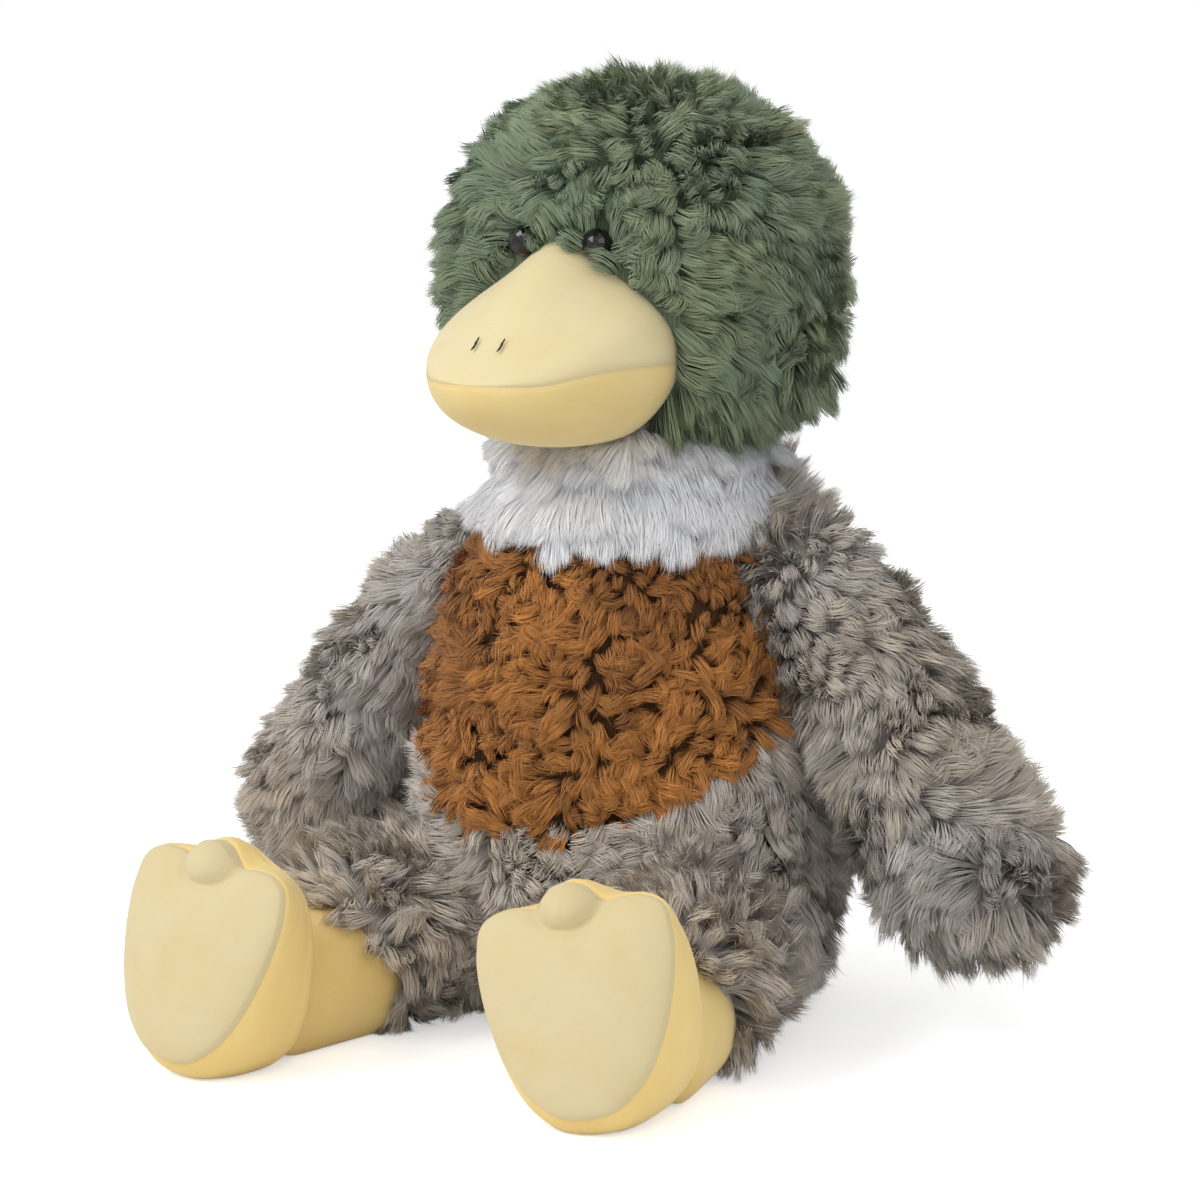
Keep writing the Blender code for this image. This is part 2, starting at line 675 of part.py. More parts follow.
def from_top(angle):
    """How many degrees a place on the outline is from the middle toe, on either side."""
    return abs((math.degrees(angle) - 90 + 180) % 360 - 180)


def ankle_ring(depth, end, radius):
    """A ring of the ankle tube, which runs from the paddle's back to its end in the leg's cover."""
    aside = end.x * (depth - FOOT_BACK) / (end.y - FOOT_BACK)
    floor = ANKLE_RADIUS - radius
    circle = oval(radius, radius, 0, FOOT_SEGMENTS)
    return [Vector((aside + point.x, depth, max(ANKLE_RISE + point.y, floor))) for point in circle]


def foot_sections(inset, seam, end):
    """Rings of the upper, from the sole's leaning seam to the upright back and on to the ankle's end.

    Each has a depth, how far its heel has come down to the floor, a size, and how much it is the ankle's.
    """
    middle = Vector((0, 0, FOOT_HEIGHT / 2))
    toes, heel = (foot_outline(inset, shares) for shares in (FOOT_REACH_SHARES, HEEL_REACH_SHARES))
    rings = []
    for share, fall, size, mix in UPPER_SECTION_SHARES:
        back = min(share, 1)
        tube = ankle_ring(share * FOOT_BACK, end, ANKLE_RADIUS - inset)
        ring = []
        for toe_point, heel_point, tube_point in zip(toes, heel, tube):
            front = seam @ (middle + (toe_point.lerp(heel_point, back) - middle) * size)
            point = front.lerp(Vector((front.x, FOOT_BACK - inset, front.z)), back)
            point.z = max(point.z - FOOT_SEAM_RISE * fall * (1 - point.z / FOOT_HEIGHT), inset)
            ring.append(point.lerp(tube_point, mix))
        rings.append(ring)
    return rings + [ankle_ring(end.y, end, ANKLE_RADIUS - inset)]


def sole_sections(inset, seam):
    """Rings of the sole from its seam forward to its middle, with the middle toe's tip on them."""
    middle = Vector((0, 0, FOOT_HEIGHT / 2))
    rings = []
    for share in SOLE_RING_SHARES:
        size_share = math.cos(share * math.pi / 2)
        bulge = (SOLE_BULGE - inset) * math.sin(share * math.pi / 2)
        off = (size_share - TOE_BULGE_REACH_SHARE) / TOE_BULGE_SPREAD_SHARE
        tip = TOE_BULGE * math.exp(-off * off) * (share > 0)
        ring = []
        for i, point in enumerate(foot_outline(inset, FOOT_REACH_SHARES)):
            aside = from_top(2 * math.pi * i / FOOT_SEGMENTS) / TOE_BULGE_WIDTH_DEGREES
            flat = middle + (point - middle) * size_share
            ring.append(Vector((flat.x, -seam - bulge - tip * math.exp(-aside * aside), flat.z)))
        rings.append(ring)
    rings.append([Vector((0, -seam - SOLE_BULGE + inset, FOOT_HEIGHT / 2))])
    return rings


def ankle_hole(name, place, end):
    """Room for the ankle tube in the end of the leg's cover."""
    radius = ANKLE_RADIUS + SEAM_GAP
    low, high = FOOT_BACK + OVERRUN, end.y + SEAM_GAP
    rings = [ankle_ring(depth, end, radius) for depth in (low, high)]
    middles = [sum(ring, Vector()) / len(ring) for ring in rings]
    return cutter(name, lofted(placed([middles[:1]] + rings + [middles[1:]], place)))


def make_leg(side_name, side):
    start, z_axis, length = sleeve_frame(HIP, LEG_REACH, side)
    place = sleeve_matrix(start, Vector((0, 0, 1)), z_axis)
    level = Vector((-z_axis.y, z_axis.x, 0)).normalized()
    wall = BACKING + BODY_PILE
    outer = list(reversed(placed(leg_rings(length, HIP_RADIUS, LEG_END_RADIUS), place)))
    inner = list(reversed(placed(leg_rings(length, HIP_RADIUS - wall, LEG_END_RADIUS - wall), place)))
    cover = object_from("leg_cover_" + side_name, walled(outer, inner), "grey_pile")
    core = LEG_END_RADIUS - wall - STUFFING_GAP
    shorter = -ANKLE_SEAT - ANKLE_RADIUS / 2
    rings = leg_rings(length, core, core, shorter)
    rings.append([Vector((0, 0, length + shorter))])
    stuffing = object_from("leg_stuffing_" + side_name, lofted(placed(rings, place)), "fibre")
    floor_place, seam = foot_matrices(side)
    end = floor_place.inverted() @ Vector((side * ANKLE_END.x, ANKLE_END.y, 0))
    sole_place = floor_place @ seam
    walls = [placed(foot_sections(inset, seam, end), floor_place) for inset in (0, NAP_FABRIC)]
    rings = walls[0] + list(reversed(walls[1]))
    upper = object_from("foot_upper_" + side_name, lofted(rings, closed=True), "pale_nap")
    walls = [placed(sole_sections(inset, SEAM_GAP), sole_place) for inset in (0, NAP_FABRIC)]
    sole = object_from("foot_sole_" + side_name, walled(*walls), "pale_nap")
    inset = NAP_FABRIC + 2 * STUFFING_GAP
    back = placed(foot_sections(inset, seam, end), floor_place)
    front = placed(sole_sections(inset, 0)[1:], sole_place)
    last = [floor_place @ Vector((end.x, end.y, ANKLE_RISE))]
    fill = object_from("foot_stuffing_" + side_name, lofted(list(reversed(front)) + back + [last]), "fibre")
    cut(cover, ankle_hole("ankle_hole_" + side_name, floor_place, end))
    hang("hip_" + side_name, start, [cover, stuffing, upper, sole, fill])
    return start, place, level, length


def leg_sweep(side_name, start, place, level, length):
    """Where the leg passes as it lifts, with a gap round it: the hull of its lowest and highest places."""
    rings = leg_rings(length, HIP_RADIUS + SOCKET_GAP, LEG_END_RADIUS + SOCKET_GAP, OVERRUN)
    sets = []
    for lift in (0, LEG_LIFT_DEGREES):
        raised = Matrix.Rotation(-math.radians(lift), 4, level)
        moved = Matrix.Translation(start) @ raised @ Matrix.Translation(-start) @ place
        sets.append(placed(rings, moved))
    return hull_cutter("hip_room_" + side_name, sets)


clear_scene()
body_pieces = make_body()
make_head()
make_neck()
for name, side in SIDES.items():
    socket = make_wing(name, side)
    room = leg_sweep(name, *make_leg(name, side))
    for piece in body_pieces:
        cut(piece, socket)
        cut(piece, room)
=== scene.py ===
"""Plush duck, dressed: pile fabric over stuffing, a sewn beak and feet, glossy eyes, on a pale floor."""
import json
import math

import bpy
import numpy as np
from mathutils import Matrix, Vector
from mathutils.kdtree import KDTree


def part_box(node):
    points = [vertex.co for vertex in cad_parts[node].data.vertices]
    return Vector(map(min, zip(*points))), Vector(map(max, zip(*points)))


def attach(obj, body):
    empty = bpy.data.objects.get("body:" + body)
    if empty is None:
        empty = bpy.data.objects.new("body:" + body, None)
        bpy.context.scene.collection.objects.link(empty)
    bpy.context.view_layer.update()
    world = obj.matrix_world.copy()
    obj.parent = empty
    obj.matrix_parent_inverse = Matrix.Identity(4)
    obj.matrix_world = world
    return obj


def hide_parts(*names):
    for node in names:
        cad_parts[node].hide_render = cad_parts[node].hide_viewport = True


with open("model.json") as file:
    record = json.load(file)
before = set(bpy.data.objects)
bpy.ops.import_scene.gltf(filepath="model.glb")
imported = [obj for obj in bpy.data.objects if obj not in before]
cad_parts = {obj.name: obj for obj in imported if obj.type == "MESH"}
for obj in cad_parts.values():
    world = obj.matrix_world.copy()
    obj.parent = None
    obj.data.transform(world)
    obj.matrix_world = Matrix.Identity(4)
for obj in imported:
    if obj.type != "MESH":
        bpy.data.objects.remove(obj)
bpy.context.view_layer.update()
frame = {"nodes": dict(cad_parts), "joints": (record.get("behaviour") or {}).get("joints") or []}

joint_places = {joint["name"]: Vector(joint["pos_m"]) for joint in frame["joints"]}


# Camera
# The photograph looks slightly down on the duck's left front quarter through a long lens,
# from a little over a metre away.
AZIMUTH, ELEVATION = math.radians(30), math.radians(8.7)
CAMERA_DISTANCE = 1.2
CAMERA_RING_CENTRE = Vector((0, -0.020, 0.150))
CAMERA_AIM = CAMERA_RING_CENTRE - Vector((0, 0, 0.0112))
LENS, SENSOR = 109.1, 36

towards_camera = Vector((math.sin(AZIMUTH) * math.cos(ELEVATION),
                         -math.cos(AZIMUTH) * math.cos(ELEVATION), math.sin(ELEVATION)))
camera = bpy.data.objects.new("camera", bpy.data.cameras.new("camera"))
camera.data.lens, camera.data.sensor_width = LENS, SENSOR
camera.location = CAMERA_RING_CENTRE + towards_camera * CAMERA_DISTANCE
camera.rotation_euler = (CAMERA_AIM - camera.location).to_track_quat("-Z", "Y").to_euler()
bpy.context.scene.collection.objects.link(camera)
bpy.context.scene.camera = camera
bpy.context.scene.view_settings.view_transform = "Standard"


# Pile shades
# Long pile is cut from one dyed fabric, and each tuft has taken the dye a little differently. Each
# fibre's colour starts from a root colour, which is painted light in the crevices between tufts
# (painted shade on the brown chest), and grows paler to its tip by a painted highlight. Across a
# pile's map run eight shades from cool to warm, each from dark to light, and up it runs the fibre
# from root to tip.
SHADES = 8


def joined(tree, source, target):
    tree.links.new(source, target)


def math_node(tree, operation, first, second=None, third=None):
    node = tree.nodes.new("ShaderNodeMath")
    node.operation = operation
    for socket, value in zip(node.inputs, (first, second, third)):
        if value is None:
            continue
        if isinstance(value, (int, float)):
            socket.default_value = value
        else:
            joined(tree, value, socket)
    return node.outputs[0]


def mixed(tree, factor, first, second, blend="MIX"):
    node = tree.nodes.new("ShaderNodeMix")
    node.data_type, node.blend_type = "RGBA", blend
    for socket, value in zip((node.inputs[0], node.inputs[6], node.inputs[7]), (factor, first, second)):
        if isinstance(value, (int, float)):
            socket.default_value = value
        elif isinstance(value, tuple):
            socket.default_value = (*value, 1)
        else:
            joined(tree, value, socket)
    return node.outputs[2]


def shade_group(name, colour_inputs, value_inputs, outputs):
    """An empty shader group with its named sockets, and its two end nodes."""
    tree = bpy.data.node_groups.new(name, "ShaderNodeTree")
    for socket in colour_inputs:
        tree.interface.new_socket(socket, in_out="INPUT", socket_type="NodeSocketColor")
    for socket in value_inputs:
        tree.interface.new_socket(socket, in_out="INPUT", socket_type="NodeSocketFloat")
    for socket, kind in outputs:
        tree.interface.new_socket(socket, in_out="OUTPUT", socket_type=kind)
    return tree, tree.nodes.new("NodeGroupInput").outputs, tree.nodes.new("NodeGroupOutput").inputs


pile_shade, given, put = shade_group(
    "pile_shade", ["Root", "Cool", "Warm"], ["Root Reach", "Tip Painted Highlight"], [("Color", "NodeSocketColor")])
chart = pile_shade.nodes.new("ShaderNodeUVMap")
chart.uv_map = "OFBake"
split = pile_shade.nodes.new("ShaderNodeSeparateXYZ")
joined(pile_shade, chart.outputs[0], split.inputs[0])
across = math_node(pile_shade, "MULTIPLY", split.outputs[0], SHADES)
warmth = math_node(pile_shade, "DIVIDE", math_node(pile_shade, "FLOOR", across), SHADES - 1)
light = math_node(pile_shade, "MULTIPLY_ADD", math_node(pile_shade, "FRACT", across), 0.66, 0.67)
up = math_node(pile_shade, "MULTIPLY_ADD", split.outputs[1], given["Tip Painted Highlight"], light)
dyed = mixed(pile_shade, warmth, given["Cool"], given["Warm"])
scaled = pile_shade.nodes.new("ShaderNodeVectorMath")
scaled.operation = "SCALE"
joined(pile_shade, dyed, scaled.inputs[0])
joined(pile_shade, up, scaled.inputs["Scale"])
rise = pile_shade.nodes.new("ShaderNodeMapRange")
rise.interpolation_type = "SMOOTHSTEP"
joined(pile_shade, split.outputs[1], rise.inputs[0])
joined(pile_shade, given["Root Reach"], rise.inputs[2])
joined(pile_shade, mixed(pile_shade, rise.outputs[0], given["Root"], scaled.outputs[0]), put["Color"])


def plain_material(name, roughness, sheen=0.0, specular=0.5):
    made = bpy.data.materials.new(name)
    made.use_nodes = True
    surface = made.node_tree.nodes["Principled BSDF"]
    surface.inputs["Roughness"].default_value = roughness
    surface.inputs["Sheen Weight"].default_value = sheen
    surface.inputs["Specular IOR Level"].default_value = specular
    return made, made.node_tree, surface


# root is the colour painted at the fibres' roots: painted light in the crevices for most piles, painted shade for the
# chest; the tips are lifted by a painted highlight.
def pile_material(name, root, cool, warm, root_reach=0.62, tip_painted_highlight=0.30, sheen=0.15):
    made, tree, surface = plain_material(name, 0.72, sheen, 0.25)
    surface.inputs["Sheen Roughness"].default_value = 0.6
    shade = tree.nodes.new("ShaderNodeGroup")
    shade.node_tree = pile_shade
    for socket, colour in (("Root", root), ("Cool", cool), ("Warm", warm)):
        shade.inputs[socket].default_value = (*colour, 1)
    shade.inputs["Root Reach"].default_value = root_reach
    shade.inputs["Tip Painted Highlight"].default_value = tip_painted_highlight
    joined(tree, shade.outputs["Color"], surface.inputs["Base Color"])
    return made


def backing_material(name, dark, pale):
    """The knitted cloth that a pile grows from: rows of small loops, seen only between tufts. Its colours are set a
    little darker than its pile's, as painted shade in the gaps.
    """
    made, tree, surface = plain_material(name, 0.9, 0.1, 0.2)
    place = tree.nodes.new("ShaderNodeTexCoord")
    loops = tree.nodes.new("ShaderNodeTexWave")
    loops.inputs["Scale"].default_value = 260
    loops.inputs["Distortion"].default_value = 2.5
    loops.inputs["Detail"].default_value = 1
    joined(tree, place.outputs["Object"], loops.inputs["Vector"])
    patch = tree.nodes.new("ShaderNodeTexNoise")
    patch.inputs["Scale"].default_value = 70
    joined(tree, place.outputs["Object"], patch.inputs["Vector"])
    share = math_node(tree, "MULTIPLY", loops.outputs["Fac"], patch.outputs["Fac"])
    joined(tree, mixed(tree, share, dark, pale), surface.inputs["Base Color"])
    bump = tree.nodes.new("ShaderNodeBump")
    bump.inputs["Distance"].default_value = 0.0004
    joined(tree, loops.outputs["Fac"], bump.inputs["Height"])
    joined(tree, bump.outputs[0], surface.inputs["Normal"])
    return made


# Body
# A pear of grey long-pile fabric, stuffed firmly, that sits on its own flattened seat. Its pile
# stands in soft tufts as thick as a pencil lead, combed roughly downwards and swirled by handling.
BODY_LOW, BODY_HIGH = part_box("body_cover")
BODY_RADIUS = (BODY_HIGH.x - BODY_LOW.x) / 2
BODY_DEPTH_SHARE = 0.94
BODY_HEIGHT = BODY_HIGH.z
SKIN_DEPTH = 0.008
SEAT_PILE = 0.0016
BODY_SHARES = [
    (0.0, 0.71), (0.03, 0.81), (0.08, 0.89), (0.16, 0.955), (0.30, 1.0), (0.48, 0.99),
    (0.66, 0.945), (0.80, 0.88), (0.90, 0.81), (0.96, 0.745), (1.0, 0.68),
]
TUFT_SPACING = 0.0039
AROUND = 96


def through(shares, at):
    """Reads a smooth curve through a table of (place, value) pairs, at many places at once."""
    places, values = (np.array(column, float) for column in zip(*shares))
    slopes = np.gradient(values, places)
    at = np.clip(np.asarray(at, float), places[0], places[-1])
    k = np.clip(np.searchsorted(places, at, "right") - 1, 0, len(places) - 2)
    span = places[k + 1] - places[k]
    t = (at - places[k]) / span
    return ((2 * t**3 - 3 * t**2 + 1) * values[k] + (t**3 - 2 * t**2 + t) * slopes[k] * span
            + (3 * t**2 - 2 * t**3) * values[k + 1] + (t**3 - t**2) * slopes[k + 1] * span)


def oval(half_x, half_y, z, count=AROUND):
    turn = np.linspace(0, 2 * np.pi, count, endpoint=False)
    return np.stack([half_x * np.cos(turn), half_y * np.sin(turn), np.full(count, z)], -1)


def moved(matrix, points):
    m = np.array(matrix)
    return points @ m[:3, :3].T + m[:3, 3]


def skin(name, rings, material, closed=True, wanted=None):
    """A mesh through a stack of rings, capped with a fan at both ends, or a panel of one."""
    rows, around = len(rings), len(rings[0])
    points = np.concatenate(rings)
    faces = []
    for r in range(rows - 1):
        for i in range(around):
            j = (i + 1) % around
            faces.append((r * around + i, r * around + j, (r + 1) * around + j, (r + 1) * around + i))
    if wanted is not None:
        inside = wanted(points)
        faces = [face for face in faces if inside[list(face)].all()]
    if closed:
        points = np.vstack([points, rings[0].mean(0), rings[-1].mean(0)])
        last = (rows - 1) * around
        for i in range(around):
            j = (i + 1) % around
            faces.append((rows * around, j, i))
            faces.append((rows * around + 1, last + i, last + j))
    mesh = bpy.data.meshes.new(name)
    mesh.from_pydata(points.tolist(), [], faces)
    mesh.validate()
    mesh.shade_smooth()
    mesh.materials.append(material)
    made = bpy.data.objects.new(name, mesh)
    bpy.context.scene.collection.objects.link(made)
    return made


def eased(at):
    at = np.clip(at, 0, 1)
    return at * at * (3 - 2 * at)


def unit(vectors):
    return vectors / np.maximum(np.linalg.norm(vectors, axis=-1, keepdims=True), 1e-9)


def roots(rings, spacing, seed, wanted=None):
    """Evenly scattered places on a stack of rings where tufts grow, and which way out is there."""
    rng = np.random.default_rng(seed)
    grid = np.stack(rings)
    along = np.gradient(grid, axis=0)
    round_it = np.roll(grid, -1, 1) - np.roll(grid, 1, 1)
    out = unit(np.cross(round_it, along))
    middle = grid.reshape(-1, 3).mean(0)
    if ((grid - middle) * out).sum() < 0:
        out = -out
    a, b = grid[:-1], np.roll(grid, -1, 1)[:-1]
    c, d = np.roll(grid, -1, 1)[1:], grid[1:]
    size = np.linalg.norm(np.cross(c - a, d - b), axis=-1).ravel() / 2
    tries = int(9 * size.sum() / spacing**2)
    picked = rng.choice(len(size), tries, p=size / size.sum())
    row, column = np.divmod(picked, grid.shape[1])
    u, v = rng.random((2, tries, 1))
    beside = (column + 1) % grid.shape[1]

    def at(field):
        low = field[row, column] * (1 - u) + field[row, beside] * u
        high = field[row + 1, column] * (1 - u) + field[row + 1, beside] * u
        return low * (1 - v) + high * v

    points, outward = at(grid), unit(at(out))
    if wanted is not None:
        kept = wanted(points)
        points, outward = points[kept], outward[kept]
    tree = KDTree(len(points))
    for i, point in enumerate(points):
        tree.insert(point, i)
    tree.balance()
    free = np.ones(len(points), bool)
    chosen = []
    for i in range(len(points)):
        if free[i]:
            chosen.append(i)
            for _, near, _ in tree.find_range(points[i], spacing):
                free[near] = False
    return points[chosen], outward[chosen]


def ripple(points, length, seed):
    """A smooth field that wanders between about -1 and 1 over the given length."""
    rng = np.random.default_rng(seed)
    ways = unit(rng.normal(size=(7, 3))) * (2 * np.pi / (length * rng.uniform(0.7, 1.5, (7, 1))))
    return np.sin(points @ ways.T + rng.uniform(0, 2 * np.pi, 7)).sum(-1) / 2.2


def combed(points, outward, way, swirl_degrees, swirl_length, seed):
    """The way that tufts lie: along a given way, turned by smooth swirls."""
    flat = unit(way - outward * (way * outward).sum(-1, keepdims=True))
    side = np.cross(outward, flat)
    turn = np.radians(swirl_degrees) * ripple(points, swirl_length, seed)[:, None]
    return flat * np.cos(turn) + side * np.sin(turn)


TUFTED = {
    "length": 0.0168, "lean": (12, 72), "curl": 36, "root": 0.0027, "tip": 0.0043, "flat": 0.55, "soft": 0.9,
    "fibres": 100, "width": 0.00028, "stray": 0.0005, "uneven": 0.16, "bunches": 7, "pull": 0.34, "ragged": 0.16,
    "mottle": 1.0,
}
FIBRE_STEPS = np.array([0.0, 0.4, 0.75, 1.0])
FIBRE_WIDTHS = np.array([1.0, 1.0, 0.85])
FLOOR_CLEARANCE = 0.0005
PIECE_FIBRES = 39000


def tufts(points, outward, lie, look, warmth, seed, grow, bend, pale):
    """Grows a brush of flat fibres from each root: they rise, lean over, curl and end raggedly."""
    rng = np.random.default_rng(seed)
    count, fibres, t = len(points), look["fibres"], FIBRE_STEPS
    length = look["length"] * rng.uniform(1 - look["uneven"], 1 + look["uneven"], count) * grow
    lean = np.radians(look["lean"][0] + rng.normal(0, 7, count))[:, None] * (1 - t)
    lean = (lean + np.radians(look["lean"][1] + rng.normal(0, 12, count))[:, None] * t) * bend[:, None]
    curl = np.radians(look["curl"]) * rng.normal(0, 1, count)[:, None] * t
    side = np.cross(outward, lie)
    level = np.cos(curl)[..., None] * lie[:, None] + np.sin(curl)[..., None] * side[:, None]
    along = np.cos(lean)[..., None] * outward[:, None] + np.sin(lean)[..., None] * level
    top = np.sin(lean)[..., None] * outward[:, None] - np.cos(lean)[..., None] * level
    beside = np.cross(along, top)
    steps = (along[:, 1:] + along[:, :-1]) / 2 * (np.diff(t) * length[:, None])[..., None]
    guide = np.concatenate([np.zeros((count, 1, 3)), np.cumsum(steps, 1)], 1)

    radius, angle = np.sqrt(rng.random((count, fibres))), rng.uniform(0, 2 * np.pi, (count, fibres))
    place = np.stack([radius * np.cos(angle), radius * np.sin(angle)], -1)
    centres = rng.uniform(-0.8, 0.8, (count, look["bunches"], 2))
    bunch = ((place[:, :, None] - centres[:, None]) ** 2).sum(-1).argmin(-1)
    centre = np.take_along_axis(centres, bunch[..., None], 1)
    pull = (look["pull"] * t**2)[:, None]
    place = place[:, :, None] * (1 - pull) + centre[:, :, None] * pull
    spread = np.interp(t, [0, 0.75, 1], [look["root"], look["tip"], look["tip"] * 0.9])[:, None]
    squash = (1 - (1 - look["flat"]) * t)[:, None]
    round_it = place[..., :1] * squash * top[:, None] + place[..., 1:] * beside[:, None]
    bunch_reach = np.take_along_axis(rng.uniform(1 - look["ragged"], 1.0, (count, look["bunches"])), bunch, 1)
    reach = (1 - 0.12 * radius**2 - 0.06 * rng.random((count, fibres))) * bunch_reach
    loose = look["stray"] * (1 + 3 * rng.random((count, fibres, 1, 1)) ** 4)
    stray = rng.normal(0, 1, (count, fibres, 1, 3)) * loose * (t**2)[:, None]
    spine = points[:, None, None] + guide[:, None] * reach[..., None, None] + round_it * spread + stray

    facing = 0.8 * unit(round_it) + 0.9 * outward[:, None, None] + rng.normal(0, 0.14, (count, fibres, 1, 3))
    along = np.broadcast_to(along[:, None], spine.shape)
    across = unit(np.cross(along, facing))
    soft = unit(np.cross(across, along) + look["soft"] * outward[:, None, None])
    half = across * look["width"] / 2 * rng.uniform(0.75, 1.25, (count, fibres, 1, 1))
    half = half[:, :, :-1] * FIBRE_WIDTHS[:, None]
    verts = np.stack([spine[:, :, :-1] - half, spine[:, :, :-1] + half], 3)
    verts = verts.reshape(count * fibres, -1, 3)
    verts = np.concatenate([verts, spine[:, :, -1].reshape(-1, 1, 3)], 1)
    verts[..., 2] = np.maximum(verts[..., 2], FLOOR_CLEARANCE)
    soft = np.concatenate([np.repeat(soft[:, :, :-1], 2, 2), soft[:, :, -1:]], 2).reshape(verts.shape)

    shade = np.clip(warmth * (SHADES - 1) + rng.normal(0, 1.0, count), 0, SHADES - 1).round()
    mottle = rng.normal(0, 0.15, (count, 1)) + rng.normal(0, 0.09, (count, fibres))
    # pale lifts a fibre's colour as painted light where it is positive and darkens it as painted shade where it is
    # negative; mottle is the tufts' own random tone.
    light = 0.5 + pale[:, None] + look["mottle"] * mottle
    u = ((shade[:, None] + np.clip(light, 0.07, 0.93)) / SHADES).reshape(-1, 1)
    return verts, u, soft


def pile(name, body, points, outward, lie, look, material, warmth, seed, grow=1.0, bend=1.0, pale=0.0):
    """Grows the pile on a piece of fabric, in sectors that are meshes of their own."""
    grow = np.broadcast_to(grow, len(points)) * (1 + 0.09 * ripple(points, 0.022, seed + 7))
    bend, pale = np.broadcast_to(bend, len(points)), np.broadcast_to(pale, len(points))
    sectors = math.ceil(len(points) * look["fibres"] / PIECE_FIBRES)
    middle = points.mean(0)
    order = np.argsort(np.arctan2(points[:, 1] - middle[1], points[:, 0] - middle[0]))
    made = []
    for k, part in enumerate(np.array_split(order, sectors)):
        verts, u, soft = tufts(points[part], outward[part], lie[part], look, warmth[part], seed + 100 * k,
                               grow[part], bend[part], pale[part])
        piece = ribbons(name if sectors == 1 else f"{name}_{k + 1}", verts, u, soft, material)
        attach(piece, body)
        made.append(piece)
    return made


def ribbons(name, verts, u, soft, material):
    """Builds fibres as one mesh with its shade map: quads, then a pointed tip.

    Their normals lean towards the fabric's own, as light that passes through fine fibres is softened.
    """
    fibres, per_fibre = verts.shape[:2]
    quads = per_fibre // 2 - 1
    corner = [i for k in range(quads) for i in (2 * k, 2 * k + 1, 2 * k + 3, 2 * k + 2)]
    corner = np.array(corner + [2 * quads, 2 * quads + 1, 2 * quads + 2])
    starts = np.append(np.arange(quads) * 4, quads * 4)
    map_u = np.where(np.arange(per_fibre) % 2 == 0, -0.003, 0.003)
    map_u[-1] = 0
    map_v = np.append(np.repeat(FIBRE_STEPS[:-1], 2), FIBRE_STEPS[-1]) * 0.98 + 0.01
    mesh = bpy.data.meshes.new(name)
    mesh.vertices.add(fibres * per_fibre)
    mesh.vertices.foreach_set("co", verts.astype(np.float32).ravel())
    mesh.loops.add(fibres * len(corner))
    first = np.arange(fibres)[:, None]
    mesh.loops.foreach_set("vertex_index", (first * per_fibre + corner).ravel().astype(np.int32))
    mesh.polygons.add(fibres * len(starts))
    mesh.polygons.foreach_set("loop_start", (first * len(corner) + starts).ravel().astype(np.int32))
    mesh.update(calc_edges=True)
    chart = mesh.uv_layers.new(name="OFBake")
    places = np.stack(np.broadcast_arrays(u + map_u[corner], map_v[corner][None]), -1)
    chart.data.foreach_set("uv", places.astype(np.float32).ravel())
    mesh.shade_smooth()
    normals = mesh.attributes.new("custom_normal", "FLOAT_VECTOR", "POINT")
    normals.data.foreach_set("vector", soft.astype(np.float32).ravel())
    mesh.materials.append(material)
    made = bpy.data.objects.new(name, mesh)
    bpy.context.scene.collection.objects.link(made)
    return made


def body_ring(z, inset):
    radius = through(BODY_SHARES, z / BODY_HEIGHT) * BODY_RADIUS - inset
    return oval(radius, radius * BODY_DEPTH_SHARE, max(z, SEAT_PILE))


grey_backing = backing_material("grey_backing", (0.34, 0.31, 0.28), (0.48, 0.44, 0.40))
# The grey root colour is paler than either shade: painted light in the crevices between tufts.
grey_pile = pile_material("grey_pile", (0.48, 0.445, 0.41), (0.420, 0.395, 0.368), (0.470, 0.410, 0.340))
body_levels = np.concatenate([np.linspace(0, 0.02, 6), np.linspace(0.026, 0.166, 34)])
body_rings = [body_ring(z, SKIN_DEPTH * min(1, 0.35 + z / 0.02)) for z in body_levels]
body_skin = skin("body_skin", body_rings, grey_backing)
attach(body_skin, "body")
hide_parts("body_cover", "body_stuffing", "pellet_bag")

# Chest panel
# A shield of rust-brown pile let into the front of the body between two seams. Its tufts are
# tighter curls that lie every way, and they spill over the seams.
CHEST_HALF_WIDTH = 0.066
CHEST_TOP, CHEST_BOTTOM = 0.164, 0.060
CHEST_SPILL = 0.006
CHEST_SHARES = [(0.0, 0.0), (0.03, 0.28), (0.10, 0.56), (0.22, 0.86), (0.40, 1.0), (0.72, 0.92), (1.0, 0.80)]


def on_chest(points, spill=0.0):
    """Whether places on the body are within the shield's seams, or higher by what spills over the lower one."""
    level = (points[:, 2] - CHEST_BOTTOM - spill) / (CHEST_TOP - CHEST_BOTTOM)
    wide = through(CHEST_SHARES, np.clip(level, 0, 1)) * CHEST_HALF_WIDTH * (level > 0)
    return (points[:, 1] < 0) & (np.abs(points[:, 0] + spill) < wide)


down = np.array([0.0, 0.0, -1.0])
body_points, body_out = roots(body_rings, TUFT_SPACING, 11, lambda p: ~on_chest(p, CHEST_SPILL))
outwards = unit(body_points * [1, 1, 0])
body_lie = combed(body_points, body_out, down + 0.3 * outwards, 75, 0.045, 12)
belly_warmth = np.clip(0.45 + 0.30 * ripple(body_points, 0.06, 13), 0, 1)
flank = eased((np.abs(body_points[:, 0]) - 0.045) / 0.02) * eased((0.12 - body_points[:, 2]) / 0.03)
body_grow = np.clip(0.35 + body_points[:, 2] / 0.02, 0.35, 1) * (1 + 0.15 * flank)
seen_right = body_points @ [math.cos(AZIMUTH), math.sin(AZIMUTH), 0]
collar = eased((body_points[:, 2] - 0.140) / 0.012)
body_grow = body_grow * (1 + collar * np.where(seen_right > 0.03, 0.80, -0.45))
body_bend = 1 - 0.65 * collar * (seen_right > 0.03)
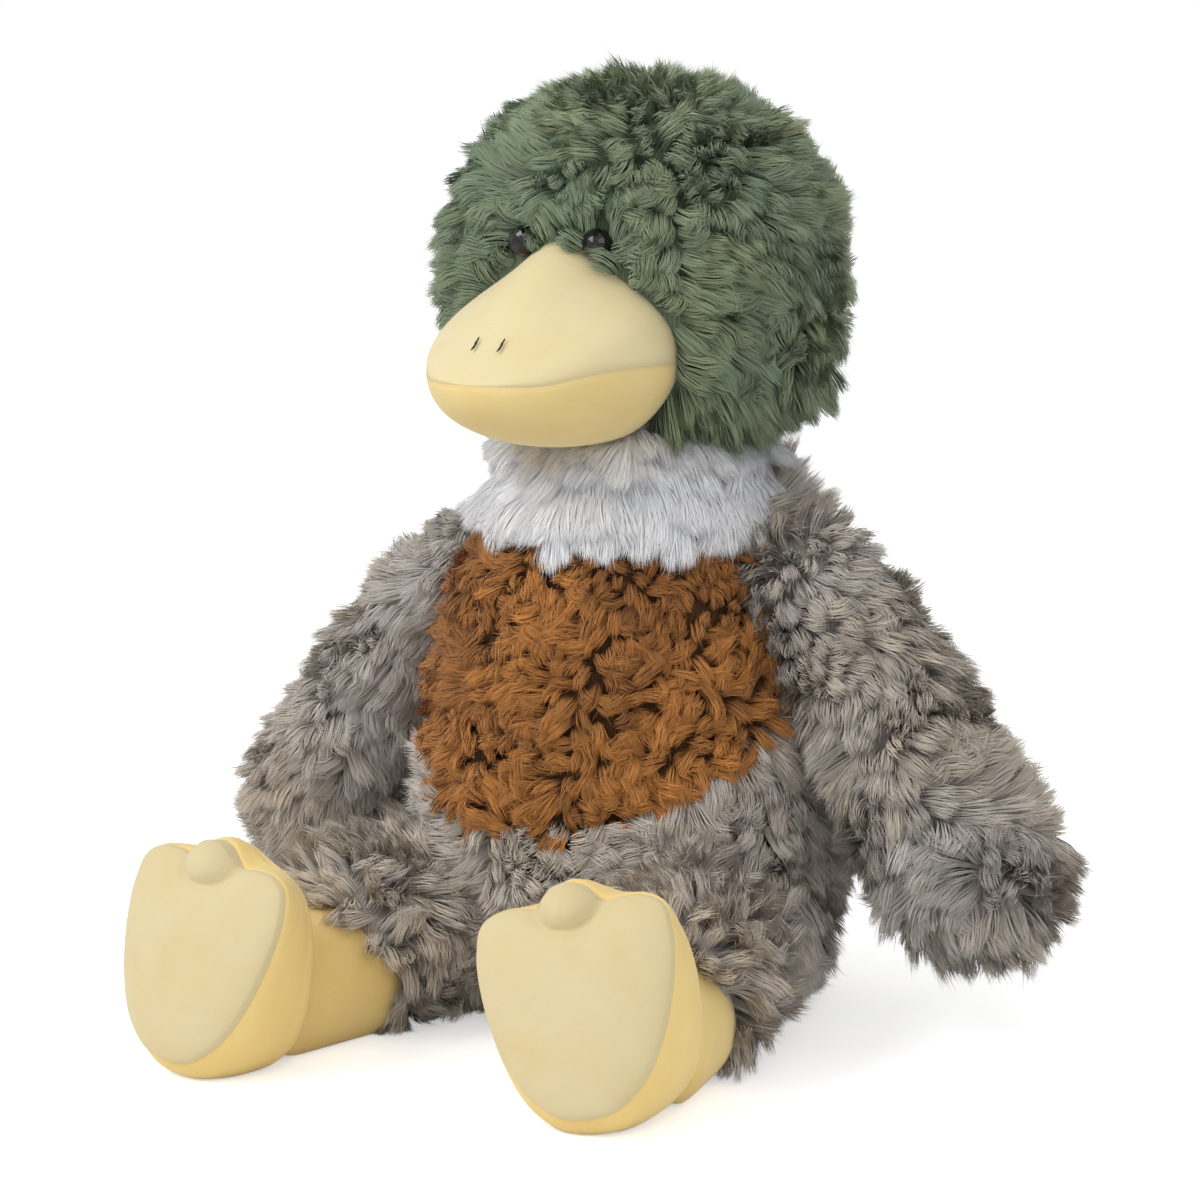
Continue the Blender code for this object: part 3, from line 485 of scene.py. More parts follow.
# The body's lower front is painted paler: painted light where the belly lies in the shade of the feet.
belly_painted_light = 0.34 * eased((0.10 - body_points[:, 2]) / 0.05) * (body_points[:, 1] < 0)
pile("body_pile", "body", body_points, body_out, body_lie, TUFTED, grey_pile, belly_warmth, 14,
     body_grow, body_bend, belly_painted_light)

TIGHT_CURL = dict(TUFTED, length=0.0150, lean=(0, 86), curl=60, root=0.0019, tip=0.0028, flat=0.6, fibres=70,
                  bunches=6, pull=0.6, soft=0.6, mottle=1.5)
# The chest's roots and backing are darker than its dyed pile, as painted shade in the crevices between its curls, and
# its tips carry a stronger painted highlight.
brown_backing = backing_material("brown_backing", (0.085, 0.040, 0.014), (0.17, 0.080, 0.028))
brown_pile = pile_material("brown_pile", (0.12, 0.046, 0.012), (0.225, 0.090, 0.022), (0.400, 0.168, 0.040),
                           tip_painted_highlight=0.55)
chest_rings = [body_ring(z, SKIN_DEPTH - 0.0006) for z in np.linspace(CHEST_BOTTOM, CHEST_TOP, 40)]
chest_skin = skin("chest_skin", chest_rings, brown_backing, closed=False, wanted=on_chest)
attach(chest_skin, "body")
chest_points, chest_out = roots(body_rings, 0.0031, 21, lambda p: on_chest(p, CHEST_SPILL) & (p[:, 2] < 0.161))
chest_side = np.clip(chest_points[:, :1] / CHEST_HALF_WIDTH, -1, 1)
chest_way = down + np.concatenate([chest_side * 0.8 - 0.4 * (chest_side < 0.1), 0 * chest_side, 0 * chest_side], 1)
chest_lie = combed(chest_points, chest_out, chest_way, 95, 0.030, 22)
chest_warmth = np.clip(0.5 + 0.3 * ripple(chest_points, 0.04, 23), 0, 1)
chest_grow = 1 - 0.35 * eased((chest_points[:, 2] - 0.142) / 0.012)
pile("chest_pile", "body", chest_points, chest_out, chest_lie, TIGHT_CURL, brown_pile, chest_warmth, 24,
     chest_grow)
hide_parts("chest_panel")


# Neck
# A band of white pile, straighter and silkier than the rest, sewn between the body and the head.
# Its fibres hang over the chest in loose points.
NECK_LOW, NECK_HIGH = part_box("neck_band")
NECK_CENTRE = np.array([0, joint_places["head_turn"].y, 0])
NECK_RADIUS = (NECK_HIGH.x - NECK_LOW.x) / 2
SILKY = dict(TUFTED, length=0.0190, lean=(66, 95), curl=9, root=0.0028, tip=0.0046, flat=0.45, fibres=210, soft=6,
             width=0.00020, stray=0.0005, uneven=0.36, bunches=2, pull=0.08, ragged=0.25, mottle=0.15)
white_backing = backing_material("white_backing", (0.86, 0.87, 0.88), (0.92, 0.92, 0.93))
# The white root colour is paler than either shade: painted light in the crevices between fibres.
white_pile = pile_material("white_pile", (0.95, 0.95, 0.96), (0.89, 0.90, 0.925), (0.92, 0.92, 0.935),
                           root_reach=0.5, tip_painted_highlight=0.04, sheen=0.3)
NECK_FLARE = 0.009
NECK_FUR_TOP = 0.188
neck_levels = np.linspace(NECK_LOW.z - 0.001, NECK_HIGH.z, 16)
neck_half = [NECK_RADIUS - 0.009 + NECK_FLARE * eased((NECK_LOW.z + 0.016 - z) / 0.016)
             - 0.014 * eased((z - NECK_FUR_TOP - 0.001) / 0.009) for z in neck_levels]
neck_rings = [oval(half, half, z) + NECK_CENTRE for half, z in zip(neck_half, neck_levels)]
neck_skin = skin("neck_skin", neck_rings, white_backing)
neck_points, neck_out = roots(neck_rings, 0.0032, 31, lambda p: p[:, 2] < NECK_FUR_TOP + 0.007)
neck_hem = eased((NECK_LOW.z + 0.014 - neck_points[:, 2]) / 0.014)
neck_lie = combed(neck_points, neck_out, np.broadcast_to(down, neck_points.shape), 12, 0.04, 32)
neck_seen = (neck_points - NECK_CENTRE) @ [math.cos(AZIMUTH), math.sin(AZIMUTH), 0] / NECK_RADIUS
neck_short = (0.22 + 0.32 * eased((-neck_seen - 0.2) / 0.5) + 0.16 * eased((neck_seen - 0.45) / 0.35)
              + 0.15 * ripple(neck_points * [1, 1, 0.2], 0.022, 35))
neck_warmth = np.clip(0.5 + 0.4 * ripple(neck_points, 0.03, 33), 0, 1)
pile("neck_pile", "neck", neck_points, neck_out, neck_lie, SILKY, white_pile, neck_warmth, 34,
     1 - neck_short * neck_hem, 1.06 - 0.18 * neck_hem)
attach(neck_skin, "neck")
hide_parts("neck_band", "neck_stuffing")


# Beak
# Two panels of short-nap fabric sewn round their rim and stuffed: a pale upper one with a raised
# ridge that ends in a point between the eyes, and a deeper yellow lower one.
HEAD_CENTRE = joint_places["head_nod"]
HEAD_TURN = math.radians(-3)
BEAK_HALF_WIDTH, BEAK_MIDDLE = 0.039, 0.047
BEAK_FRONT, BEAK_BACK = 0.055, 0.030
BEAK_SEAM_DROP = 0.034
BEAK_UPPER_HEIGHT, BEAK_LOWER_DEPTH = 0.032, 0.024
BEAK_RIDGE_HEIGHT, BEAK_RIDGE_WIDTH = 0.012, 0.0155
BEAK_SMILE = 0.0045
BEAK_SLOPE_POWER, BEAK_SIDE_POWER = 1.15, 2.6
head_place = Matrix.Translation(HEAD_CENTRE) @ Matrix.Rotation(HEAD_TURN, 4, "Z")


def beak_points(turn, across, rise):
    """Places on a beak panel in the head's frame: turn round its plan, across from middle to rim."""
    front = np.where(np.sin(turn) < 0, BEAK_FRONT, BEAK_BACK)
    x = BEAK_HALF_WIDTH * np.cos(turn) * across
    y = front * np.sin(turn) * across
    seam = BEAK_SMILE * eased((np.abs(x) / BEAK_HALF_WIDTH - 0.5) / 0.5) - BEAK_SEAM_DROP
    if rise < 0:
        dome = np.sqrt(np.maximum(1 - across**2, 0))
        return np.stack([x, y - BEAK_MIDDLE, seam - BEAK_LOWER_DEPTH * dome], -1)
    forward = np.abs(y) / front
    room = np.sqrt(np.maximum(1 - forward**2, 1e-9)) * BEAK_HALF_WIDTH
    sideways = np.minimum(np.abs(x) / room, 1)
    slope = np.maximum(1 - forward**BEAK_SLOPE_POWER, 0) ** (1 / BEAK_SLOPE_POWER)
    dome = slope * np.maximum(1 - sideways**BEAK_SIDE_POWER, 0) ** (1 / BEAK_SIDE_POWER)
    ridge = BEAK_RIDGE_HEIGHT * np.exp(-((x / BEAK_RIDGE_WIDTH) ** 2)) * slope * np.minimum(dome * 2, 1)
    lift = (seam + BEAK_SEAM_DROP) * (1 - dome)
    return np.stack([x, y - BEAK_MIDDLE, lift - BEAK_SEAM_DROP + BEAK_UPPER_HEIGHT * dome + ridge], -1)


def beak_rings(rise, rows=22, around=120):
    turn = np.linspace(0, 2 * np.pi, around, endpoint=False)
    acrosses = np.cos(np.linspace(0, 0.985, rows) ** 0.9 * np.pi / 2)
    rings = [beak_points(turn, np.full(around, share), rise) for share in acrosses]
    return [moved(head_place, ring) for ring in rings]


nap_shade, given, put = shade_group(
    "nap_shade", ["Light", "Deep"], ["Brushing"], [("Color", "NodeSocketColor"), ("Height", "NodeSocketFloat")])
place = nap_shade.nodes.new("ShaderNodeTexCoord")
brush = nap_shade.nodes.new("ShaderNodeTexNoise")
brush.inputs["Scale"].default_value = 45
brush.inputs["Detail"].default_value = 3
brush.inputs["Distortion"].default_value = 0.6
grain = nap_shade.nodes.new("ShaderNodeTexNoise")
grain.inputs["Scale"].default_value = 1900
grain.inputs["Detail"].default_value = 2
for texture in (brush, grain):
    joined(nap_shade, place.outputs["Object"], texture.inputs["Vector"])
patches = nap_shade.nodes.new("ShaderNodeMapRange")
patches.inputs[1].default_value, patches.inputs[2].default_value = 0.30, 0.72
joined(nap_shade, brush.outputs["Fac"], patches.inputs[0])
laid = math_node(nap_shade, "MULTIPLY", patches.outputs[0], given["Brushing"])
speck = math_node(nap_shade, "MULTIPLY_ADD", grain.outputs["Fac"], 0.16, laid)
joined(nap_shade, mixed(nap_shade, speck, given["Light"], given["Deep"]), put["Color"])
joined(nap_shade, math_node(nap_shade, "MULTIPLY_ADD", brush.outputs["Fac"], 0.5, grain.outputs["Fac"]), put["Height"])


def nap_material(name, light, deep, brushing=0.75):
    made, tree, surface = plain_material(name, 0.88, 0.35, 0.15)
    surface.inputs["Sheen Roughness"].default_value = 0.45
    surface.inputs["Sheen Tint"].default_value = (1.0, 0.93, 0.75, 1)
    surface.inputs["Subsurface Weight"].default_value = 0.15
    surface.inputs["Subsurface Radius"].default_value = (0.004, 0.003, 0.0015)
    shade = tree.nodes.new("ShaderNodeGroup")
    shade.node_tree = nap_shade
    shade.inputs["Light"].default_value = (*light, 1)
    shade.inputs["Deep"].default_value = (*deep, 1)
    shade.inputs["Brushing"].default_value = brushing
    joined(tree, shade.outputs["Color"], surface.inputs["Base Color"])
    bump = tree.nodes.new("ShaderNodeBump")
    bump.inputs["Strength"].default_value = 0.35
    bump.inputs["Distance"].default_value = 0.0003
    joined(tree, shade.outputs["Height"], bump.inputs["Height"])
    joined(tree, bump.outputs[0], surface.inputs["Normal"])
    return made


pale_nap = nap_material("pale_nap", (0.775, 0.67, 0.405), (0.725, 0.58, 0.295), 0.5)
deep_nap = nap_material("deep_nap", (0.80, 0.625, 0.295), (0.735, 0.54, 0.195), 0.5)
for name, rise, material in (("beak_top_panel", 1, pale_nap), ("beak_under_panel", -1, deep_nap)):
    panel = skin(name, beak_rings(rise), material, closed=True)
    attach(panel, "head")
    if rise > 0:
        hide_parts("beak_upper", "beak_stuffing")
    else:
        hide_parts("beak_lower")

# Nostrils
# One straight stitch of black thread on each side of the ridge, drawn into the nap.
black_thread, tree, surface = plain_material("black_thread", 0.55, 0.2, 0.4)
twist = tree.nodes.new("ShaderNodeTexWave")
twist.bands_direction = "DIAGONAL"
twist.inputs["Scale"].default_value = 900
ply = mixed(tree, twist.outputs["Fac"], (0.010, 0.008, 0.007), (0.035, 0.030, 0.026))
joined(tree, ply, surface.inputs["Base Color"])
STITCH_HALF, STITCH_RADIUS = 0.0030, 0.00040
for side_name in ("left", "right"):
    node = frame["nodes"]["nostril_stitch_" + side_name]
    places = np.array([node.matrix_world @ vert.co for vert in node.data.vertices])
    centre = places.mean(0)
    way = np.linalg.svd(places - centre)[2][0]
    way = way * np.sign(way[2])
    across = unit(np.cross(way, [0, 1, 0]))
    out = np.cross(across, way)
    rings = []
    for t in np.linspace(-1, 1, 17):
        turn = np.linspace(0, 2 * np.pi, 12, endpoint=False)
        size = STITCH_RADIUS * (0.15 + 0.85 * math.sqrt(1 - t * t)) * (1 + 0.12 * math.sin(9 * t))
        middle = centre + way * STITCH_HALF * t + across * 0.00008 * math.sin(5 * t) - out * 0.0003 * t * t
        rings.append(middle + size * (np.cos(turn)[:, None] * across + 0.8 * np.sin(turn)[:, None] * out))
    stitch = skin("nostril_thread_" + side_name, rings, black_thread)
    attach(stitch, "head")
    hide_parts("nostril_stitch_" + side_name)


# Eyes
# Domed black plastic buttons on shanks, pushed through the backing and locked by washers behind it.
black_plastic, tree, surface = plain_material("black_plastic", 0.16, 0.0, 0.4)
surface.inputs["Coat Weight"].default_value = 0.25
surface.inputs["Coat Roughness"].default_value = 0.08
dust = tree.nodes.new("ShaderNodeTexNoise")
dust.inputs["Scale"].default_value = 600
joined(tree, mixed(tree, dust.outputs["Fac"], (0.004, 0.004, 0.004), (0.012, 0.010, 0.009)), surface.inputs["Base Color"])
washer_plastic, tree, surface = plain_material("washer_plastic", 0.45)
cloud = tree.nodes.new("ShaderNodeTexNoise")
cloud.inputs["Scale"].default_value = 200
joined(tree, mixed(tree, cloud.outputs["Fac"], (0.55, 0.55, 0.53), (0.66, 0.66, 0.63)), surface.inputs["Base Color"])
for side_name in ("left", "right"):
    for node, material in (("eye_", black_plastic), ("eye_washer_", washer_plastic)):
        piece = frame["nodes"][node + side_name]
        piece.data.materials.clear()
        piece.data.materials.append(material)


# Head
# A ball of green long-pile fabric, stuffed firmly. The pile is parted round the eyes and lies away
# from the beak, and below it hangs over the top of the neck.
HEAD_HALF = np.array([0.067, 0.0635, 0.060])
EYE_SKIN_DEPTH = 0.0125
PARTING, PARTING_HEIGHT = 0.0048, 0.0115
CHIN_FULLNESS = 0.17
green_backing = backing_material("green_backing", (0.13, 0.17, 0.11), (0.22, 0.28, 0.18))
# The green root colour is paler than the cool shade: painted light in the crevices between tufts.
green_pile = pile_material("green_pile", (0.20, 0.26, 0.17), (0.175, 0.232, 0.148), (0.265, 0.288, 0.165))
beak_cloud = np.concatenate(beak_rings(1, 12, 60) + beak_rings(-1, 12, 60))
eye_places = np.array([np.array(sum(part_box("eye_" + side_name), Vector())) / 2 for side_name in ("left", "right")])


def near(points, cloud):
    """How far each place is from the nearest of a cloud of points, and which way leads away from it."""
    tree = KDTree(len(cloud))
    for i, point in enumerate(cloud):
        tree.insert(point, i)
    tree.balance()
    found = [tree.find(point) for point in points]
    return np.array([hit[2] for hit in found]), unit(points - np.array([hit[0] for hit in found]))


def head_ring(polar):
    """A level ring of the head's skin, which lies deeper where the eyes are set in."""
    fuller = 1 + CHIN_FULLNESS * math.exp(-(((math.degrees(polar) - 42) / 22) ** 2))
    surface = moved(head_place, oval(*(HEAD_HALF[:2] * math.sin(polar) * fuller), -HEAD_HALF[2] * math.cos(polar)))
    gap, _ = near(surface, eye_places)
    depth = EYE_SKIN_DEPTH + (SKIN_DEPTH - EYE_SKIN_DEPTH) * eased((gap - 0.016) / 0.016)
    centre = np.array(HEAD_CENTRE)
    return centre + (surface - centre) * (1 - depth / np.linalg.norm(surface - centre, axis=1))[:, None]


def off_beak(points):
    """Whether places on the head are clear of the beak's seat and the eyes."""
    local = moved(head_place.inverted(), points)
    x, y, z = local[:, 0], local[:, 1] + BEAK_MIDDLE, local[:, 2]
    forward = y / np.where(y < 0, BEAK_FRONT, BEAK_BACK)
    turn, across = np.arctan2(forward, x / BEAK_HALF_WIDTH), np.hypot(forward, x / BEAK_HALF_WIDTH)
    top, low = (beak_points(turn, np.minimum(across, 1), rise)[:, 2] for rise in (1, -1))
    inside = (across < 1) & (z < top + 0.0012) & (z > low - 0.0012) & (local[:, 1] < 0)
    gaps = (points[:, None] - eye_places) / [PARTING, PARTING, PARTING_HEIGHT]
    return ~inside & (np.linalg.norm(gaps, axis=-1).min(1) > 1)


head_rings = [head_ring(polar) for polar in np.radians(np.linspace(16, 176, 46))]
head_skin = skin("head_skin", head_rings, green_backing)
head_points, head_out = roots(head_rings, TUFT_SPACING, 41, off_beak)
beak_gap, off_way = near(head_points, beak_cloud)
eye_gap, eye_way = near(head_points, eye_places)
local = moved(head_place.inverted(), head_points)
crown = eased((local[:, 2] - 0.015) / 0.04)[:, None]
hang_way = down + crown * unit(local * [1, 1, 0]) + [0, 0.35, 0]
above = eased((local[:, 2] + BEAK_SEAM_DROP - 0.010) / 0.014)
beside = np.exp(-(beak_gap / 0.011) ** 2)[:, None]
pull = 0.95 * above[:, None] * beside
cheek = (1 - above[:, None]) * np.exp(-(beak_gap / 0.018) ** 2)[:, None]
hang_way = hang_way + cheek * (local[:, :1] * [-5, 0, 0] + [0, -0.5, 0])
eye_pull = (1 - pull) * 0.9 * np.exp(-(eye_gap / 0.011) ** 2)[:, None]
eye_way = eye_way * [-0.2, 1, 1] + np.maximum(eye_way[:, 2:], 0) * [0, 0, 0.6]
head_way = unit(hang_way) * (1 - pull) * (1 - eye_pull) + off_way * pull + eye_way * eye_pull
calm = 1 - np.maximum(pull, eye_pull)[:, 0]
head_lie = combed(head_points, head_out, head_way, 60 * calm[:, None] * (1 - 0.15 * cheek), 0.040, 42)
head_grow = 0.66 + 0.34 * eased(np.minimum(beak_gap / 0.014, (eye_gap - 0.004) / 0.012))
droop = np.degrees(np.arccos(np.clip(-head_out[:, 2], -1, 1)))
chin = eased((66 - droop) / 26)
head_bend = np.clip(droop / TUFTED["lean"][1] - 0.6 * chin, 0, 0.92) - 0.10 * eased((droop - 130) / 35)
head_grow = np.maximum(head_grow, cheek[:, 0]) * (1 + 0.40 * eased((88 - droop) / 30) - 0.12 * chin)
head_warmth = np.clip(0.38 + 0.34 * ripple(head_points, 0.05, 43), 0, 1)
head_look = dict(TUFTED, ragged=0.10, stray=0.0004, curl=46)
# The crown's tufts are painted paler as painted light from above, and the head's sides darker as painted shade.
pile("head_pile", "head", head_points, head_out, head_lie, head_look, green_pile, head_warmth, 44,
     head_grow, head_bend, 0.26 * crown[:, 0] - 0.12 * eased(np.abs(local[:, 0]) / 0.045))
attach(head_skin, "head")
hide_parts("head_cover", "head_stuffing")


# Wings
# Flattened sleeves of the grey pile, lightly stuffed so that they hang, sewn into the body's sides.
WING_REACH = Vector((0.057, -0.002, -0.084))
SHOULDER_RADIUS, WING_HALF_WIDTH, WING_HALF_THICKNESS = 0.0245, 0.033, 0.027
WING_TIP_LENGTH = 0.033


def axes_along(start, x_axis, z_axis):
    x_axis = (x_axis - z_axis * x_axis.dot(z_axis)).normalized()
    turn = Matrix((x_axis, z_axis.cross(x_axis), z_axis)).transposed().to_4x4()
    return Matrix.Translation(start) @ turn


def wing_rings(length, root, wide, thick, tip):
    """A sleeve along +Z: a round root, a length that widens, and a rounded tip."""
    rings = [oval(root * math.sin(a), root * math.sin(a), -root * math.cos(a), 64)
             for a in np.radians(np.linspace(14, 90, 9))]
    for t in np.linspace(0, 1, 16)[1:-1]:
        ease = eased(t)
        rings.append(oval(root + (wide - root) * ease, root + (thick - root) * ease, length * t, 64))
    for a in np.radians(np.linspace(0, 80, 10)):
        rings.append(oval(wide * math.cos(a), thick * math.cos(a), length + tip * math.sin(a), 64))
    return rings


for side_name, side in (("left", 1), ("right", -1)):
    shoulder = joint_places["wing_lift_" + side_name]
    reach = Vector((side * WING_REACH.x, WING_REACH.y, WING_REACH.z))
    place = axes_along(shoulder, Vector((0, 1, 0)), reach.normalized())
    sizes = [size - SKIN_DEPTH for size in (SHOULDER_RADIUS, WING_HALF_WIDTH, WING_HALF_THICKNESS, WING_TIP_LENGTH)]
    sizes[0] -= 0.002 * (side < 0)
    rings = [moved(place, ring) for ring in wing_rings(reach.length, *sizes)]
    wing_skin = skin("wing_skin_" + side_name, rings, grey_backing)
    points, out = roots(rings, TUFT_SPACING, 51 + side)
    outer = eased(side * out[:, 0])
    warmth = np.clip(0.45 + 0.3 * ripple(points, 0.05, 58 + side) + 0.35 * outer, 0, 1)
    raised = eased((points[:, 2] - shoulder.z + 0.006) / 0.014)
    below = eased((shoulder.z + 0.012 - points[:, 2]) / 0.03)
    inner = eased((0.004 - side * (points[:, 0] - shoulder.x)) / 0.010)
    tucked = eased(-side * out[:, 0]) * eased((shoulder.z - 0.05 - points[:, 2]) / 0.03)
    tip = eased((out @ np.array(reach.normalized()) - 0.35) / 0.5)
    over = eased((0.8 - (points - np.array(shoulder)) @ np.array(reach.normalized()) / SHOULDER_RADIUS) / 0.8)
    tip_way = np.array(reach.normalized()) + 0.25 * out + over[:, None] * [0.9 * side, -0.4, 0] + tip[:, None] * down
    lie = combed(points, out, tip_way, 70 * (1 - 0.7 * raised[:, None]), 0.04, 55 + side)
    if side > 0:
        grow = 1 + raised * (0.55 * inner - 0.30) + 0.20 * outer * below + 0.35 * tucked
        bend = 1 - 0.2 * raised * inner
    else:
        grow, bend = 1 - 0.70 * raised - 0.12 * outer * below, 1 + 0.35 * raised
    bend = bend - 0.45 * tip
    body = "wing_" + side_name
    # On the left wing the lower part is painted darker: painted shade where less light reaches it.
    pile("wing_pile_" + side_name, body, points, out, lie, TUFTED, grey_pile, warmth, 61 + side,
         grow, bend, -0.12 * below * (side > 0))
    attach(wing_skin, body)
    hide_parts("wing_cover_" + side_name, "wing_stuffing_" + side_name)


# Legs
# Short sleeves of the grey pile from the hips to the ankles, warmer in tone where they end.
LEG_REACH = Vector((0.0105, -0.040, -0.001))
HIP_RADIUS, LEG_END_RADIUS = 0.031, 0.029


ANKLE_RADIUS, ANKLE_RISE = 0.0230, 0.0195
ANKLE_END = (0.0595, -0.081)


def leg_rings(place, length):
    """A tube along +Z with a round root, and an end rounded inwards to the ankle."""
    root = HIP_RADIUS - SKIN_DEPTH
    rings = [oval(root * math.sin(a), root * math.sin(a), -root * math.cos(a), 56)
             for a in np.radians(np.linspace(14, 90, 8))]
    for t in np.linspace(0, 1, 12)[1:]:
        radius = HIP_RADIUS + (LEG_END_RADIUS - HIP_RADIUS) * t - SKIN_DEPTH
        rings.append(oval(radius, radius, length * t, 56))
    end = LEG_END_RADIUS - SKIN_DEPTH
    rings += [oval(end * math.cos(a), end * math.cos(a), length + 0.004 * math.sin(a), 56)
              for a in np.radians(np.linspace(15, 85, 6))]
    return [moved(place, ring) for ring in rings]


def off_ankle(points, side, way):
    """Whether places on a leg are clear of the ankle's tube."""
    off = points - [side * ANKLE_END[0], ANKLE_END[1], ANKLE_RISE]
    forward = off @ way
    return (np.linalg.norm(off - forward[:, None] * way, axis=1) > ANKLE_RADIUS + 0.0008) | (forward < -0.003)


for side_name, side in (("left", 1), ("right", -1)):
    hip = joint_places["leg_lift_" + side_name]
    reach = Vector((side * LEG_REACH.x, LEG_REACH.y, LEG_REACH.z))
    place = axes_along(hip, Vector((0, 0, 1)), reach.normalized())
    rings = leg_rings(place, reach.length)
    leg_skin = skin("leg_skin_" + side_name, rings, grey_backing)
    leg_way = np.array(reach.normalized())
    points, out = roots(rings, TUFT_SPACING, 71 + side, lambda p: off_ankle(p, side, leg_way))
    forward = ((points - np.array(hip)) @ np.array(reach.normalized())) / reach.length
    rim = points - np.array(hip) - (forward * reach.length)[:, None] * leg_way
    ending = eased((forward - 0.85) / 0.15)[:, None]
    way = leg_way * (1 - ending) + 0.2 * down + unit(rim) * ending
    lie = combed(points, out, way, 45 + 50 * ending, 0.030, 74 + side)
    warmth = np.clip(0.45 + 0.45 * forward + 0.2 * ripple(points, 0.03, 76 + side), 0, 1)
    body = "leg_" + side_name
    # The legs' pile is painted paler, more so towards the ankle: painted light where the leg lies in shade.
    pile("leg_pile_" + side_name, body, points, out, lie, dict(TUFTED, curl=55), grey_pile, warmth, 81 + side,
         1.15 - 0.3 * ending[:, 0], 0.8 - 0.4 * ending[:, 0], 0.20 + 0.22 * np.clip(forward, 0, 1))
    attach(leg_skin, body)
    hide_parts("leg_cover_" + side_name, "leg_stuffing_" + side_name)


# Feet
# Paddles of short-nap fabric, stuffed tight, that lean back over their heels: a pale sole with three
# toes, sewn to a deeper yellow upper that comes down to the heel and draws in round the ankle.
FOOT_WIDTH, FOOT_HEIGHT = 0.0737, 0.0716
FOOT_LEFT_PLACE, FOOT_RIGHT_PLACE = (0.0710, -0.1500, 0), (-0.0744, -0.1623, 0)
FOOT_LEFT_ROLL, FOOT_RIGHT_ROLL = math.radians(12), math.radians(4.5)
FOOT_SPLAY, FOOT_LEAN = math.radians(7.6), math.radians(18)
FOOT_SEAM_RISE, FOOT_BACK = 0.0058, 0.036
FOOT_REACH_SHARES = [
    (0, 1.03), (7, 1.00), (13, 0.94), (20, 0.895), (28, 0.965), (37, 1.06), (47, 1.10), (59, 1.012),
    (75, 0.893), (90, 0.825), (120, 0.81), (150, 0.918), (168, 0.985), (180, 0.99),
]
HEEL_REACH_SHARES = [
    (0, 0.91), (30, 0.89), (50, 0.90), (75, 0.87), (90, 0.86), (115, 0.92), (140, 1.04), (160, 1.08), (180, 1.04),
]
UPPER_FALL_SHARES = [(0, 0), (0.1, 0.62), (0.3, 1), (0.62, 1), (1.3, 1)]
UPPER_SIZE_SHARES = [(0, 1), (0.1, 1.01), (0.3, 1.02), (0.62, 1.02), (0.86, 0.97), (0.98, 0.89), (1.04, 0.85), (1.3, 0.85)]
UPPER_TUBE_SHARES = [(0, 0), (0.3, 0), (0.62, 0.02), (0.86, 0.07), (0.98, 0.28), (1.04, 0.62), (1.16, 0.9), (1.3, 1)]
SOLE_BULGE = 0.009
SEAM_PINCH, SEAM_REACH = 0.0005, 0.0016
TOE_TIP_HALF_WIDTH, TOE_TIP_HALF_HEIGHT, TOE_TIP_BULGE, TOE_TIP_LEVEL = 0.0098, 0.0082, 0.0052, 0.0658
foot_turns = np.linspace(0, 2 * np.pi, 168, endpoint=False)
foot_middle = np.array([0, 0, FOOT_HEIGHT / 2])


def foot_outline(shares, inset=0.0):
    """The paddle's outline in the XZ plane."""
    aside = np.abs((np.degrees(foot_turns) - 90 + 180) % 360 - 180)
    reach = through(shares, aside)
    x = (FOOT_WIDTH / 2 - inset) * np.cos(foot_turns) * reach
    z = FOOT_HEIGHT / 2 + (FOOT_HEIGHT / 2 - inset) * np.sin(foot_turns) * reach
    return np.stack([x, 0 * x, z], -1)


def sole_rings():
    """The sole from its seam forward, with the middle toe's tip as a small cushion on it."""
    rings = []
    for share in np.concatenate([np.linspace(0, 0.10, 7), np.linspace(0.115, 0.70, 48), np.linspace(0.73, 0.985, 9)]):
        size = math.cos(share * math.pi / 2)
        edge = FOOT_WIDTH / 2 * (1 - size)
        outline = foot_outline(FOOT_REACH_SHARES, SEAM_PINCH * math.exp(-((edge / 0.0008) ** 2)))
        ring = foot_middle + (outline - foot_middle) * size
        off = (ring[:, 0] / TOE_TIP_HALF_WIDTH) ** 2 + ((ring[:, 2] - TOE_TIP_LEVEL) / TOE_TIP_HALF_HEIGHT) ** 2
        tip = TOE_TIP_BULGE * np.maximum(1 - off**1.1, 0) ** 0.8 * eased(share / 0.16)
        crease = 0.0010 * np.exp(-(((off**0.5 - 1.1) / 0.2) ** 2)) * (ring[:, 2] < TOE_TIP_LEVEL)
        ring[:, 1] = -SOLE_BULGE * math.sin(share * math.pi / 2) - tip + crease
        rings.append(ring)
    return rings


def ankle_ring(depth, end):
    aside = end.x * (depth - FOOT_BACK) / (end.y - FOOT_BACK)
    across, up = ANKLE_RADIUS * np.cos(foot_turns), ANKLE_RADIUS * np.sin(foot_turns)
    return np.stack([aside + across, np.full(len(across), depth), np.maximum(ANKLE_RISE + up, 0.0004)], -1)


